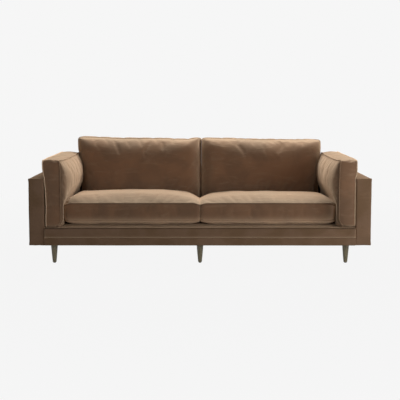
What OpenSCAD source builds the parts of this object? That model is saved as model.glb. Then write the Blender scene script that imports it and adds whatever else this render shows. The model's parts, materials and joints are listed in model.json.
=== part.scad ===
// Tuxedo sofa: a low timber box of arm panels, back panel and seat base on six tapered legs,
// with two seat cushions, two back cushions and two arm cushions that lift off.
// The front of the sofa faces -Y. The origin is on the floor, under the middle of the outer box.

/* [Overall size] */
// Width over the two arm panels
sofa_w = 2200; // [1800:10:2640]
// Depth of the arm panels, front to back
arm_d = 900; // [760:5:1080]
// Height of the arm panels and the back panel above the floor
arm_h = 559; // [470:1:670]
// Height of the legs, and so of the base's underside above the floor
leg_h = 126.5; // [100:0.5:160]
// Height of the seat base, from its underside to the deck
base_h = 116; // [104:1:140]

/* [Panels] */
// Thickness of an arm panel over its cover
arm_t = 100; // [80:1:120]
// Thickness of the back panel over its cover
back_t = 100; // [80:1:120]
// Thickness of the velvet covers and the lining cloths
cloth_t = 2; // [1:0.5:3]
// Thickness of the foam over a panel's boards
panel_foam_t = 10; // [6:1:14]
// Thickness of the boards on a panel's timbers
board_t = 5; // [3:1:8]
// Width of a panel's timbers, seen from the side
stile_w = 60; // [50:1:70]
// Corner radius of a covered panel
panel_r = 9; // [5:0.5:12]

/* [Seat base] */
// Thickness of the base's rails and bearers
rail_t = 22; // [18:1:28]
// Height of the bearers between the front and rear rails
bearer_h = 60; // [45:1:70]
// How far the front rail's cover stands in front of the arm panels
rail_proud = 12; // [6:0.5:20]
// Thickness of the foam in front of the front rail
rail_foam_t = 12; // [8:1:16]
// Height of the plain band below the padded front rail
plinth_h = 48.5; // [36:0.5:60]
// How far the plinth band lies behind the padded rail's face
plinth_setback = 5; // [3:0.5:8]
// Corner radius along the padded rail's top edge
rail_top_r = 14; // [8:0.5:18]
// Corner radius along the padded rail's lower edge
rail_low_r = 9; // [5:0.5:14]
// Radius of the padded rail's upright front edges
rail_end_r = 8; // [5:0.5:12]
// How far the velvet runs back over the deck from the arm panels' front
velvet_lip = 150; // [120:5:200]
// Thickness of the pad on the webbing
deck_pad_t = 14.5; // [8:0.5:20]
// Width of a webbing band
web_w = 60; // [40:5:70]
// Thickness of a webbing band
web_t = 1.5; // [1:0.5:2]
// Number of webbing bands that run front to back
web_cross_count = 16; // [10:1:18]
// Number of webbing bands that run end to end
web_long_count = 6; // [4:1:8]

/* [Legs] */
// Radius of a leg at its top
leg_top_r = 22.5; // [18:0.5:28]
// Radius of a leg just above its rounded tip
leg_tip_r = 12.5; // [10:0.5:16]
// Radius of the rounding at a leg's tip
leg_round_r = 4; // [2:0.5:6]
// Distance from a leg's middle to the sofa's end
leg_inset_x = 150; // [130:5:200]
// Distance from a front leg's middle to the arm panels' front
leg_inset_y = 68; // [60:1:75]
// Thickness of the glide under a leg, below the wood
glide_t = 3; // [2:0.5:5]

/* [Cushions] */
// Width of an arm cushion's boxing
arm_cushion_t = 104.5; // [80:0.5:130]
// Height of an arm cushion
arm_cushion_h = 434; // [380:1:500]
// Distance from an arm cushion's rear end to the back panel
arm_cushion_short = 14; // [5:1:60]
// Distance from a seat cushion's front to the arm panels' front
seat_setback = 102; // [80:1:140]
// Height of a seat cushion's boxing, between its two seams
seat_boxing = 111; // [90:1:140]
// Height of a seat cushion's lower seam above the deck
seat_seam_h = 32; // [20:1:45]
// Rise of a seat cushion's crown above its upper seam
seat_crown = 46; // [30:1:80]
// How far a seat cushion's top edge sinks at its rear inner corner
seat_droop = 36; // [20:1:50]
// Height of a back cushion above the deck
back_cushion_h = 538; // [440:1:640]
// Width of a back cushion's boxing
back_boxing = 128; // [100:1:150]
// Swell of a back cushion's front face
back_crown = 30; // [15:1:45]
// Lean of a back cushion from upright, in degrees
back_lean = 3.5; // [0:0.5:5]
// Swell of an arm cushion's inner face
arm_crown = 13; // [6:0.5:14]
// How far a cushion's long sides draw in between its corners
draw_in = 7; // [2:0.5:9]
// Room that the arm cushions' swell takes at the ends of the seat
swell_room = 13; // [12:0.5:20]
// Room between two cushions, and between a cushion and its support, at their nearest
cushion_gap = 3; // [1:0.5:8]

/* [Hidden] */
$fn = 48;

// Overrun of a cut past the face that it opens
cut = 1;
// Clearance between a fastener and its hole, on the radius
hole_gap = 0.05;
// Clearance that keeps a soft solid off what it lies on
soft_gap = 0.3;

// Thickness of the wall of fibre wrap and velvet around a cushion's core
wrap_t = 24;
// Corner radius of a cushion's outline
cushion_r = 24;
// Swell of a cushion's boxing
boxing_swell = 3.5;
// Swell of the face that a cushion is pressed flat on
pressed_crown = 10;

// Radius of the studs and bolts, and length of a stud inside the leg and above it
stud_r = 4;
stud_in_leg = 34;
stud_above = 18;
// Leg plate: side, thickness and the screws that hold it
plate_side = 50;
plate_t = 2.5;
screw_inset = 7;
screw_r = 2;
screw_head_r = 4;
screw_head_t = 1.5;
screw_len = 16;
// Front leg blocks: size along the rail, across it and up
block_w = 100;
block_d = 90;
block_h = 40;
// Frame bolts, their heads and washers, and the threaded inserts they screw into
bolt_len = 60;
bolt_head_r = 7;
bolt_head_t = 5;
washer_r = 12;
washer_t = 2;
insert_r = 6.5;
insert_len = 20;
// Holes in the cloths and the foam round a bolt or stud
cloth_hole_r = 6;

// Places along the base for the bolts, as shares of its inner length
arm_bolt_shares = [0.25, 0.5, 0.75];
// Places along half the back for its bolts, as shares of the half width between the arm panels
back_bolt_shares = [-0.8, -0.4, 0.4, 0.8];
// Places of the bearers and of the back panel's inner posts, as shares of the same half width
bearer_share = 0.334;

// Rings on a cushion's face as shares of its outline, and rings on its boxing as shares of its width
face_shares = [1, 0.965, 0.89, 0.75, 0.54, 0.28];
boxing_shares = [0.25, 0.5, 0.75];
// Powers that set how full a cushion's crown is and how local its corners are
crown_power = 3.2;
corner_power = 8;
// How far a seat cushion's droop reaches from its corner across and along, and how its depth fades
droop_reach = [75, 300];
droop_power = 1.5;
// Steps in a cushion outline's corner and along its long and short sides
corner_steps = 3;
long_steps = 8;
short_steps = 6;

// Places in X
half_w = sofa_w / 2;
arm_in_x = half_w - arm_t;
// Places in Y: arm panels' front, the padded rail's face, the back panel's front and the rear
front_y = -(arm_d - rail_proud) / 2;
rail_y = front_y - rail_proud;
rear_y = front_y + arm_d;
back_y = rear_y - back_t;
// Front rail's timber
timber_y = rail_y + cloth_t + rail_foam_t;
lip_y = front_y + velvet_lip;
// Places in Z: underside, timbers' underside, deck and the top of the base's timbers
frame_z = leg_h + cloth_t;
deck_z = leg_h + base_h;
pad_z = deck_z - cloth_t;
web_z = pad_z - deck_pad_t;
rail_top_z = web_z - 2 * web_t;
plinth_z = leg_h + plinth_h;
bolt_z = frame_z + stile_w / 2;
// Leg places
leg_x = half_w - leg_inset_x;
leg_front_y = front_y + leg_inset_y;
leg_rear_y = rear_y - back_t / 2;
// Cushion places
arm_face_x = arm_in_x - arm_cushion_t - soft_gap;
side_x = arm_face_x - swell_room;
cushion_z = deck_z + soft_gap;
// Middle of a back cushion's foot, and the seat cushions' front and rear before it
back_foot_y = back_y - pressed_crown / 2 - back_boxing / 2;
seat_front_y = front_y + seat_setback;
seat_rear_y = back_foot_y - back_boxing / 2 - back_crown;

// A box from its low corner to its high corner
module block(lo, hi) {
    translate(lo) cube(hi - lo);
}

// A rectangle with rounded corners; square_low leaves the two low ones square
module round_rect(lo, hi, r, square_low = false) {
    union() {
        translate([lo.x + r, lo.y]) square([hi.x - lo.x - 2 * r, hi.y - lo.y]);
        translate([lo.x, lo.y + (square_low ? 0 : r)])
            square([hi.x - lo.x, hi.y - lo.y - (square_low ? 1 : 2) * r]);
        for (x = [lo.x + r, hi.x - r], y = square_low ? [hi.y - r] : [lo.y + r, hi.y - r])
            translate([x, y]) circle(r);
    }
}

// A covered panel's outer form: upright edges and the edges round the top rounded
module panel_form(lo, hi, r) {
    intersection() {
        translate([0, 0, lo.z]) linear_extrude(hi.z - lo.z)
            round_rect([lo.x, lo.y], [hi.x, hi.y], r);
        translate([lo.x, 0, 0]) rotate([90, 0, 90]) linear_extrude(hi.x - lo.x)
            round_rect([lo.y, lo.z], [hi.y, hi.z], r, true);
        translate([0, hi.y, 0]) rotate([90, 0, 0]) linear_extrude(hi.y - lo.y)
            round_rect([lo.x, lo.z], [hi.x, hi.z], r, true);
    }
}

// Corners of a panel's box taken in by d, with its underside on the timbers' underside
function inner_lo(lo, d) = [lo.x + d, lo.y + d, frame_z];
function inner_hi(hi, d) = [hi.x - d, hi.y - d, hi.z - d];

// Corners of the arm panel on one side: -1 is left and 1 is right
function arm_lo(side) = [side < 0 ? -half_w : arm_in_x, front_y, leg_h];
function arm_hi(side) = [side < 0 ? -arm_in_x : half_w, rear_y, arm_h];
back_lo = [-arm_in_x, back_y, leg_h];
back_hi = [arm_in_x, rear_y, arm_h];
// Depths of a panel's layers, from its cover inwards
to_foam = cloth_t;
to_board = cloth_t + panel_foam_t;
to_timber = cloth_t + panel_foam_t + board_t;

// Bolts through the end rails into the arm panels, and through the rear rail into the back panel
base_in_y = timber_y + rail_t;
base_out_y = back_y - rail_t;
arm_bolt_ys = [for (s = arm_bolt_shares) base_in_y + s * (base_out_y - base_in_y)];
back_bolt_xs = [for (s = back_bolt_shares) s * arm_in_x];

// Puts its children, drawn along +X from the rail face under a bolt's washer, at every frame bolt
module at_bolts() {
    for (side = [-1, 1], y = arm_bolt_ys)
        translate([side * (arm_in_x - rail_t), y, bolt_z]) rotate([0, side < 0 ? 180 : 0, 0]) children();
    for (x = back_bolt_xs)
        translate([x, base_out_y, bolt_z]) rotate([0, 0, 90]) children();
}

// A round bar along +X
module bar_x(r, from, to) {
    translate([from, 0, 0]) rotate([0, 90, 0]) cylinder(r = r, h = to - from);
}

// Distance from the rail face under a washer to the panel's timber
timber_reach = rail_t + to_timber;

// Holes for the bolts: close ones through the rails, wide ones through the soft layers
module bolt_holes(r) {
    at_bolts() bar_x(r, -cut, timber_reach + insert_len + cut);
}

// Legs' places, front row and rear row
front_legs = [[-leg_x, leg_front_y], [0, leg_front_y], [leg_x, leg_front_y]];
rear_legs = [[-leg_x, leg_rear_y], [0, leg_rear_y], [leg_x, leg_rear_y]];

// Holes and pockets that the leg plates, studs and screws need in the timber over them
module plate_pockets(places) {
    for (p = places) translate([p.x, p.y, frame_z]) {
        translate([-plate_side / 2, -plate_side / 2, -cut]) cube([plate_side, plate_side, plate_t + cut]);
        cylinder(r = stud_r + hole_gap, h = stud_above);
        for (q = screw_places) translate([q.x, q.y, 0]) cylinder(r = screw_r + hole_gap, h = screw_len);
    }
}
screw_reach = plate_side / 2 - screw_inset;
screw_places = [for (x = [-1, 1], y = [-1, 1]) [x, y] * screw_reach];

// Holes in the cloth under the frame for the studs
module stud_holes(places) {
    for (p = places) translate([p.x, p.y, leg_h - cut]) cylinder(r = cloth_hole_r, h = cloth_t + 2 * cut);
}

// Timber posts of a panel that runs along Y, at the ends of its frame
module side_posts(lo, hi) {
    for (y = [lo.y, hi.y - stile_w])
        block([lo.x, y, lo.z + stile_w], [hi.x, y + stile_w, hi.z - stile_w]);
}

// Timber rails of a panel, at the bottom and the top of its frame
module panel_rails(lo, hi) {
    for (z = [lo.z, hi.z - stile_w])
        block([lo.x, lo.y, z], [hi.x, hi.y, z + stile_w]);
}

// Arm panels
module arm_posts(side) {
    a = inner_lo(arm_lo(side), to_board);
    b = inner_hi(arm_hi(side), to_board);
    color("burlywood") side_posts(a + [board_t, 0, 0], b - [board_t, 0, 0]);
}

module arm_rails(side) {
    a = inner_lo(arm_lo(side), to_board);
    b = inner_hi(arm_hi(side), to_board);
    color("burlywood") difference() {
        panel_rails(a + [board_t, 0, 0], b - [board_t, 0, 0]);
        at_bolts() bar_x(insert_r + hole_gap, timber_reach - cut, timber_reach + insert_len);
    }
}

module arm_boards(side) {
    a = inner_lo(arm_lo(side), to_board);
    b = inner_hi(arm_hi(side), to_board);
    color("peru") difference() {
        for (x = [a.x, b.x - board_t]) block([x, a.y, a.z], [x + board_t, b.y, b.z]);
        bolt_holes(stud_r + hole_gap);
    }
}

module arm_padding(side) {
    a = inner_lo(arm_lo(side), to_board);
    b = inner_hi(arm_hi(side), to_board);
    color("ivory") difference() {
        panel_form(inner_lo(arm_lo(side), to_foam), inner_hi(arm_hi(side), to_foam), panel_r);
        block([a.x, a.y, a.z - cut], b);
        bolt_holes(cloth_hole_r);
    }
}

module arm_cover(side) {
    color("saddlebrown") difference() {
        panel_form(arm_lo(side), arm_hi(side), panel_r);
        panel_form(inner_lo(arm_lo(side), to_foam), inner_hi(arm_hi(side), to_foam), panel_r - cloth_t);
        bolt_holes(cloth_hole_r);
    }
}

// Back panel, between the arm panels
back_a = inner_lo(back_lo, to_board);
back_b = inner_hi(back_hi, to_board);
post_xs = [back_a.x, -bearer_share * arm_in_x - stile_w / 2, bearer_share * arm_in_x - stile_w / 2,
    back_b.x - stile_w];

module back_posts() {
    color("burlywood") for (x = post_xs)
        block([x, back_a.y + board_t, back_a.z + stile_w],
            [x + stile_w, back_b.y - board_t, back_b.z - stile_w]);
}

module back_rails() {
    color("burlywood") difference() {
        panel_rails(back_a + [0, board_t, 0], back_b - [0, board_t, 0]);
        at_bolts() bar_x(insert_r + hole_gap, timber_reach - cut, timber_reach + insert_len);
        plate_pockets(rear_legs);
    }
}

module back_boards() {
    color("peru") difference() {
        for (y = [back_a.y, back_b.y - board_t])
            block([back_a.x, y, back_a.z], [back_b.x, y + board_t, back_b.z]);
        bolt_holes(stud_r + hole_gap);
    }
}

module back_padding() {
    color("ivory") difference() {
        panel_form(inner_lo(back_lo, to_foam), inner_hi(back_hi, to_foam), panel_r);
        block([back_a.x, back_a.y, back_a.z - cut], back_b);
        bolt_holes(cloth_hole_r);
    }
}

module back_cover() {
    color("saddlebrown") difference() {
        panel_form(back_lo, back_hi, panel_r);
        panel_form(inner_lo(back_lo, to_foam), inner_hi(back_hi, to_foam), panel_r - cloth_t);
        bolt_holes(cloth_hole_r);
        stud_holes(rear_legs);
    }
}

// Seat base timbers
module front_rail() {
    color("burlywood")
        block([-arm_in_x, timber_y, frame_z], [arm_in_x, base_in_y, rail_top_z]);
}

module rear_rail() {
    color("burlywood") difference() {
        block([-arm_in_x, base_out_y, frame_z], [arm_in_x, back_y, rail_top_z]);
        bolt_holes(stud_r + hole_gap);
    }
}

module end_rail(side) {
    x = side < 0 ? -arm_in_x : arm_in_x - rail_t;
    color("burlywood") difference() {
        block([x, base_in_y, frame_z], [x + rail_t, base_out_y, rail_top_z]);
        bolt_holes(stud_r + hole_gap);
    }
}

module bearer(side) {
    x = side * bearer_share * arm_in_x - rail_t / 2;
    color("burlywood") block([x, base_in_y, frame_z], [x + rail_t, base_out_y, frame_z + bearer_h]);
}

block_xs = [-arm_in_x + rail_t, -block_w / 2, arm_in_x - rail_t - block_w];

module leg_blocks() {
    color("burlywood") difference() {
        for (x = block_xs)
            block([x, base_in_y, frame_z], [x + block_w, base_in_y + block_d, frame_z + block_h]);
        plate_pockets(front_legs);
    }
}

plinth_cover_y = rail_y + plinth_setback;

module plinth_board() {
    color("peru") block([-arm_in_x, plinth_cover_y + cloth_t, frame_z], [arm_in_x, timber_y, plinth_z]);
}

module plinth_cover() {
    color("saddlebrown") {
        block([-arm_in_x, plinth_cover_y, leg_h], [arm_in_x, plinth_cover_y + cloth_t, plinth_z]);
        block([-arm_in_x, plinth_cover_y, leg_h], [arm_in_x, base_in_y, frame_z]);
    }
}

// The padded front rail's outline across the sofa, taken in by d
module rail_profile(d, r_top, r_low) {
    lo = [rail_y + d, plinth_z + d];
    top = deck_z - d;
    difference() {
        union() {
            translate(lo) square([timber_y - lo.x, top - lo.y]);
            translate([lo.x, web_z]) square([lip_y - lo.x, top - web_z]);
        }
        corner_cut([lo.x, top], r_top, -1);
        corner_cut(lo, r_low, 1);
    }
}

// What a rounding of radius r takes off the corner p; up is 1 for a lower corner and -1 for an upper
module corner_cut(p, r, up) {
    translate(p) mirror([0, up < 0 ? 1 : 0]) difference() {
        translate([-cut, -cut]) square([r + cut, r + cut]);
        translate([r, r]) circle(r);
    }
}

module along_x(from, to) {
    translate([from, 0, 0]) rotate([90, 0, 90]) linear_extrude(to - from) children();
}

// The rail's form taken in by d. Each radius is made smaller by r_less
module rail_form(d, r_less) {
    intersection() {
        along_x(-arm_in_x + d, arm_in_x - d)
            rail_profile(d, rail_top_r - r_less, rail_low_r - r_less);
        translate([0, 0, plinth_z]) linear_extrude(deck_z - plinth_z)
            round_rect([-arm_in_x + d, rail_y + d], [arm_in_x - d, lip_y + rail_end_r], rail_end_r - r_less);
    }
}

module rail_padding() {
    color("ivory") rail_form(cloth_t, 0);
}

module rail_cover() {
    color("saddlebrown") difference() {
        rail_form(0, 0);
        rail_form(cloth_t, cloth_t);
    }
}

// Webbing on the base's rails, the pad on it and the deck cloth
module webbing_cross() {
    pitch = 2 * arm_in_x / web_cross_count;
    color("dimgray") for (i = [0:web_cross_count - 1]) {
        x = -arm_in_x + (i + 0.5) * pitch - web_w / 2;
        block([x, timber_y, rail_top_z], [x + web_w, back_y, rail_top_z + web_t]);
    }
}

module webbing_long() {
    pitch = (base_out_y - base_in_y) / web_long_count;
    color("dimgray") for (i = [0:web_long_count - 1]) {
        y = base_in_y + (i + 0.5) * pitch - web_w / 2;
        block([-arm_in_x, y, rail_top_z + web_t], [arm_in_x, y + web_w, web_z]);
    }
}

module deck_pad() {
    color("gainsboro") block([-arm_in_x, lip_y, web_z], [arm_in_x, back_y, pad_z]);
}

module deck_cloth() {
    color("saddlebrown") block([-arm_in_x, lip_y, pad_z], [arm_in_x, back_y, deck_z]);
}

module dust_cover() {
    color("dimgray") difference() {
        block([-arm_in_x, base_in_y, leg_h], [arm_in_x, back_y, frame_z]);
        stud_holes(front_legs);
    }
}

// Legs, their plates, studs, screws and glides
module leg(place) {
    bore_h = stud_in_leg + cut;
    color("darkkhaki") translate([place.x, place.y, 0]) difference() {
        rotate_extrude() leg_profile();
        translate([0, 0, leg_h - stud_in_leg]) cylinder(r = stud_r + hole_gap, h = bore_h);
    }
}

// Half of a leg's outline: a straight taper down to a rounded tip
module leg_profile() {
    tip_z = glide_t + leg_round_r;
    polygon([[0, tip_z], [leg_tip_r, tip_z], [leg_top_r, leg_h], [0, leg_h]]);
    translate([0, glide_t]) square([leg_tip_r - leg_round_r, leg_round_r]);
    translate([leg_tip_r - leg_round_r, tip_z]) intersection() {
        circle(leg_round_r);
        translate([0, -leg_round_r]) square(leg_round_r);
    }
}

all_legs = concat(front_legs, rear_legs);

module leg_plates() {
    color("silver") for (p = all_legs) translate([p.x, p.y, frame_z]) difference() {
        translate([-plate_side / 2, -plate_side / 2, 0]) cube([plate_side, plate_side, plate_t]);
        translate([0, 0, -cut]) cylinder(r = stud_r + hole_gap, h = plate_t + 2 * cut);
        for (q = screw_places) translate([q.x, q.y, 0]) {
            translate([0, 0, -cut]) cylinder(r = screw_r + hole_gap, h = plate_t + 2 * cut);
            translate([0, 0, -cut]) cylinder(r = screw_head_r + hole_gap, h = screw_head_t + cut);
        }
    }
}

module leg_studs() {
    color("silver") for (p = all_legs) translate([p.x, p.y, leg_h - stud_in_leg])
        cylinder(r = stud_r, h = stud_in_leg + cloth_t + stud_above);
}

module plate_screws() {
    color("silver") for (p = all_legs, q = screw_places) translate([p.x + q.x, p.y + q.y, frame_z]) {
        cylinder(r = screw_head_r, h = screw_head_t);
        cylinder(r = screw_r, h = screw_len);
    }
}

module leg_glides() {
    color("dimgray") for (p = all_legs) translate([p.x, p.y, 0])
        cylinder(r = leg_tip_r - leg_round_r, h = glide_t);
}

// Bolts that join the base to the arm panels and the back panel
module frame_bolts() {
    color("silver") at_bolts() {
        bar_x(bolt_head_r, -washer_t - bolt_head_t, -washer_t);
        bar_x(stud_r, -washer_t, bolt_len - washer_t);
    }
}

module bolt_washers() {
    color("silver") at_bolts() difference() {
        bar_x(washer_r, -washer_t, 0);
        bar_x(stud_r + hole_gap, -washer_t - cut, cut);
    }
}

module frame_inserts() {
    color("goldenrod") at_bolts() difference() {
        bar_x(insert_r, timber_reach, timber_reach + insert_len);
        bar_x(stud_r + hole_gap, timber_reach - cut, timber_reach + insert_len + cut);
    }
}

// Height share of a crowned face at u and v, its places across and along as shares of its half sizes
function crown_share(u, v) = (1 - pow(abs(u), crown_power)) * (1 - pow(abs(v), crown_power));

// A round-cornered outline of half sizes a and b, anticlockwise from the middle of its +X side
signs = [[1, 1], [-1, 1], [-1, -1], [1, -1]];
function outline(a, b, r) = [for (q = [0:3]) each concat(
    [for (i = [0:corner_steps]) let (t = 90 * (q + i / corner_steps))
        [signs[q].x * (a - r) + r * cos(t), signs[q].y * (b - r) + r * sin(t)]],
    let (steps = q % 2 == 0 ? long_steps : short_steps,
        from = q % 2 == 0 ? [signs[q].x * (a - r), signs[q].y * b] : [signs[q].x * a, signs[q].y * (b - r)],
        to = q % 2 == 0 ? [-from.x, from.y] : [from.x, -from.y])
    [for (i = [1:steps - 1]) from + (to - from) * i / steps])];

// Draws an outline's sides in between its corners and lets them swell by w
function drawn(p, a, b, w) = let (u = p.x / a, v = p.y / b,
    pull = draw_in * [pow(abs(u), corner_power) * (1 - v * v), pow(abs(v), corner_power) * (1 - u * u)])
    [p.x * (1 + (w - pull.x) / a), p.y * (1 + (w - pull.y) / b)];

// Points of a boxed cushion lying flat, ring by ring from the middle of its underside to the middle
// of its top: half sizes a and b, boxing t, crown c_low below and c_top above, centred on the origin
function cushion_points(a, b, t, c_low, c_top) = let (
    edge = outline(a, b, cushion_r),
    low = [for (i = [len(face_shares) - 1:-1:0]) face_ring(edge, a, b, face_shares[i], -t / 2, -c_low)],
    mid = [for (s = boxing_shares) [for (p = edge) let (q = drawn(p, a, b, boxing_swell * 4 * s * (1 - s)))
        [q.x, q.y, (s - 0.5) * t]]],
    top = [for (s = face_shares) face_ring(edge, a, b, s, t / 2, c_top)])
    concat([[0, 0, -t / 2 - c_low]], [for (ring = concat(low, mid, top)) each ring], [[0, 0, t / 2 + c_top]]);
function face_ring(edge, a, b, s, z, c) = [for (p = edge) let (q = drawn(p, a, b, 0))
    [s * q.x, s * q.y, z + c * crown_share(s * min(1, abs(p.x) / a), s * min(1, abs(p.y) / b))]];

// Triangles that join the rings, with a fan at each end
ring_count = 2 * len(face_shares) + len(boxing_shares);
ring_size = 4 * corner_steps + 2 * long_steps + 2 * short_steps;
function at(ring, i) = 1 + ring * ring_size + i % ring_size;
cushion_faces = concat(
    [for (i = [0:ring_size - 1]) [0, at(0, i), at(0, i + 1)]],
    [for (k = [0:ring_count - 2], i = [0:ring_size - 1]) each [
        [at(k, i), at(k + 1, i), at(k + 1, i + 1)], [at(k, i), at(k + 1, i + 1), at(k, i + 1)]]],
    let (top = 1 + ring_count * ring_size, k = ring_count - 1)
    [for (i = [0:ring_size - 1]) [at(k, i), top, at(k, i + 1)]]);

module cushion_form(points) {
    polyhedron(points, cushion_faces, convexity = 4);
}

// Seat cushion on one side, with its underside pressed flat on the deck
seat_half_w = (side_x - cushion_gap / 2) / 2 - boxing_swell;
seat_half_d = (seat_rear_y - seat_front_y) / 2 - boxing_swell;
seat_mid = [cushion_gap / 2 + boxing_swell + seat_half_w, (seat_front_y + seat_rear_y) / 2,
    deck_z + seat_seam_h + seat_boxing / 2];

// How far the point p of a seat cushion lying flat sinks, by its distance from the rear inner corner
function droop(p, side) = seat_droop * max(0, min(1, 2 * p.z / seat_boxing))
    * pow(max(0, 1 - (seat_half_w + side * p.x) / droop_reach.x), droop_power)
    * pow(max(0, 1 - (seat_half_d - p.y) / droop_reach.y), droop_power);

module seat_cover(side) {
    points = [for (p = cushion_points(seat_half_w, seat_half_d, seat_boxing, seat_crown, seat_crown))
        let (q = [side * seat_mid.x + p.x, seat_mid.y + p.y, seat_mid.z + p.z - droop(p, side)])
        [q.x, q.y, max(q.z, cushion_z)]];
    color("sienna") difference() {
        cushion_form(points);
        core_box(side * seat_mid.x, 0);
    }
}

// Foam core of a seat cushion, grown by g for the hollow that holds it
module core_box(x, g) {
    low_z = seat_mid.z - seat_boxing / 2;
    lo = [x - seat_half_w + wrap_t, seat_mid.y - seat_half_d + wrap_t, low_z + wrap_t / 2];
    hi = [x + seat_half_w - wrap_t, seat_mid.y + seat_half_d - wrap_t, low_z + seat_boxing - wrap_t];
    block(lo + [g, g, g], hi - [g, g, g]);
}

module seat_core(side) {
    color("ivory") core_box(side * seat_mid.x, soft_gap);
}

// Back cushion on one side, leaning on the back panel and standing on the deck
back_half_w = seat_half_w;
back_half_h = back_cushion_h / 2 - boxing_swell;
function lean(p, x) = let (h = p.y + back_half_h + boxing_swell)
    [x + p.x, back_foot_y + h * sin(back_lean) - p.z * cos(back_lean),
        deck_z - lean_drop + h * cos(back_lean) + p.z * sin(back_lean)];
lean_drop = back_boxing / 2 * sin(back_lean);
// Height up to which a back cushion is pressed flat on the back panel: one step of its outline over it
press_z = arm_h + back_cushion_h / short_steps;

module back_cushion_cover(side) {
    points = [for (p = cushion_points(back_half_w, back_half_h, back_boxing, pressed_crown, back_crown))
        let (q = lean(p, side * seat_mid.x))
        [q.x, q.z < press_z ? min(q.y, back_y - soft_gap) : q.y, max(q.z, cushion_z)]];
    color("sienna") difference() {
        cushion_form(points);
        back_core_box(side, 0);
    }
}

// Fibre core of a back cushion, upright inside it
module back_core_box(side, g) {
    x = side * seat_mid.x;
    core_h = back_cushion_h - 2 * wrap_t;
    lo = [x - back_half_w + wrap_t, back_foot_y - back_boxing / 2 + core_h * sin(back_lean) + wrap_t / 2,
        cushion_z + wrap_t];
    hi = [x + back_half_w - wrap_t, back_foot_y + back_boxing / 2 - wrap_t, deck_z + core_h];
    block(lo + [g, g, g], hi - [g, g, g]);
}

module back_cushion_core(side) {
    color("ivory") back_core_box(side, soft_gap);
}

// Arm cushion on one side, on its long edge between the arm panel and the seat
arm_half_d = (back_y - front_y - arm_cushion_short) / 2 - boxing_swell;
arm_half_h = arm_cushion_h / 2 - boxing_swell;
arm_mid = [arm_in_x - soft_gap - arm_cushion_t / 2, front_y + boxing_swell + arm_half_d,
    deck_z + arm_half_h + boxing_swell];

module arm_cushion_cover(side) {
    points = [for (p = cushion_points(arm_half_d, arm_half_h, arm_cushion_t, pressed_crown, arm_crown))
        let (x = min(arm_mid.x - p.z, arm_in_x - soft_gap))
        [side * x, arm_mid.y - side * p.x, max(arm_mid.z + p.y, cushion_z)]];
    color("sienna") difference() {
        cushion_form(points);
        arm_core_box(side, 0);
    }
}

// Foam core of an arm cushion
module arm_core_box(side, g) {
    half_t = arm_cushion_t / 2 - wrap_t / 2;
    lo = [side * arm_mid.x - half_t, arm_mid.y - arm_half_d + wrap_t, cushion_z + wrap_t];
    hi = [side * arm_mid.x + half_t, arm_mid.y + arm_half_d - wrap_t, arm_mid.z + arm_half_h - wrap_t];
    block(lo + [g, g, g], hi - [g, g, g]);
}

module arm_cushion_core(side) {
    color("ivory") arm_core_box(side, soft_gap);
}

arm_posts(-1);  // arm_left_posts
arm_rails(-1);  // arm_left_rails
arm_boards(-1);  // arm_left_boards
arm_padding(-1);  // arm_left_padding
arm_cover(-1);  // arm_left_cover
arm_posts(1);  // arm_right_posts
arm_rails(1);  // arm_right_rails
arm_boards(1);  // arm_right_boards
arm_padding(1);  // arm_right_padding
arm_cover(1);  // arm_right_cover
back_posts();
back_rails();
back_boards();
back_padding();
back_cover();
front_rail();
rear_rail();
end_rail(-1);  // end_rail_left
end_rail(1);  // end_rail_right
bearer(-1);  // bearer_left
bearer(1);  // bearer_right
leg_blocks();
plinth_board();
plinth_cover();
rail_padding();
rail_cover();
webbing_cross();
webbing_long();
deck_pad();
deck_cloth();
dust_cover();
leg(front_legs[0]);  // leg_front_left
leg(front_legs[1]);  // leg_front_middle
leg(front_legs[2]);  // leg_front_right
leg(rear_legs[0]);  // leg_rear_left
leg(rear_legs[1]);  // leg_rear_middle
leg(rear_legs[2]);  // leg_rear_right
leg_plates();
leg_studs();
plate_screws();
leg_glides();
frame_bolts();
bolt_washers();
frame_inserts();
seat_cover(-1);  // seat_left_cover
seat_core(-1);  // seat_left_core
seat_cover(1);  // seat_right_cover
seat_core(1);  // seat_right_core
back_cushion_cover(-1);  // back_left_cover
back_cushion_core(-1);  // back_left_core
back_cushion_cover(1);  // back_right_cover
back_cushion_core(1);  // back_right_core
arm_cushion_cover(-1);  // arm_cushion_left_cover
arm_cushion_core(-1);  // arm_cushion_left_core
arm_cushion_cover(1);  // arm_cushion_right_cover
arm_cushion_core(1);  // arm_cushion_right_core
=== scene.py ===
"""Looks of a velvet tuxedo sofa, built around its fixed frame.

Every length is in metres, and every place is in the frame's own axes: the front faces -Y, the floor is
Z = 0. Sizes come from the frame's boxes. What a user would change stands in the property groups.
"""

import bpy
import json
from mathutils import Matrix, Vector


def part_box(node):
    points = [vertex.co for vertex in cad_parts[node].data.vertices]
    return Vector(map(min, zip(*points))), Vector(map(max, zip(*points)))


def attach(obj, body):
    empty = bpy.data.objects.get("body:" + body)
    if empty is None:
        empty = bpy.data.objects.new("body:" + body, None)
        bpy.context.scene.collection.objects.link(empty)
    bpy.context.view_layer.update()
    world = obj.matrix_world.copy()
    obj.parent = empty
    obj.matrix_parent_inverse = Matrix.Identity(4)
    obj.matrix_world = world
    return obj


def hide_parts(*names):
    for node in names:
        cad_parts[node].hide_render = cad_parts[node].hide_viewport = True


bl_info = {
    "name": "Velvet tuxedo sofa",
    "version": (1, 0, 0),
    "blender": (4, 5, 0),
    "location": "3D View > Sidebar > Sofa",
    "description": "Upholstered panels, loose cushions and turned legs around a fixed sofa frame",
    "category": "Add Mesh",
}

import json
import math

import bpy
import numpy as np
from mathutils import Vector

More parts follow.
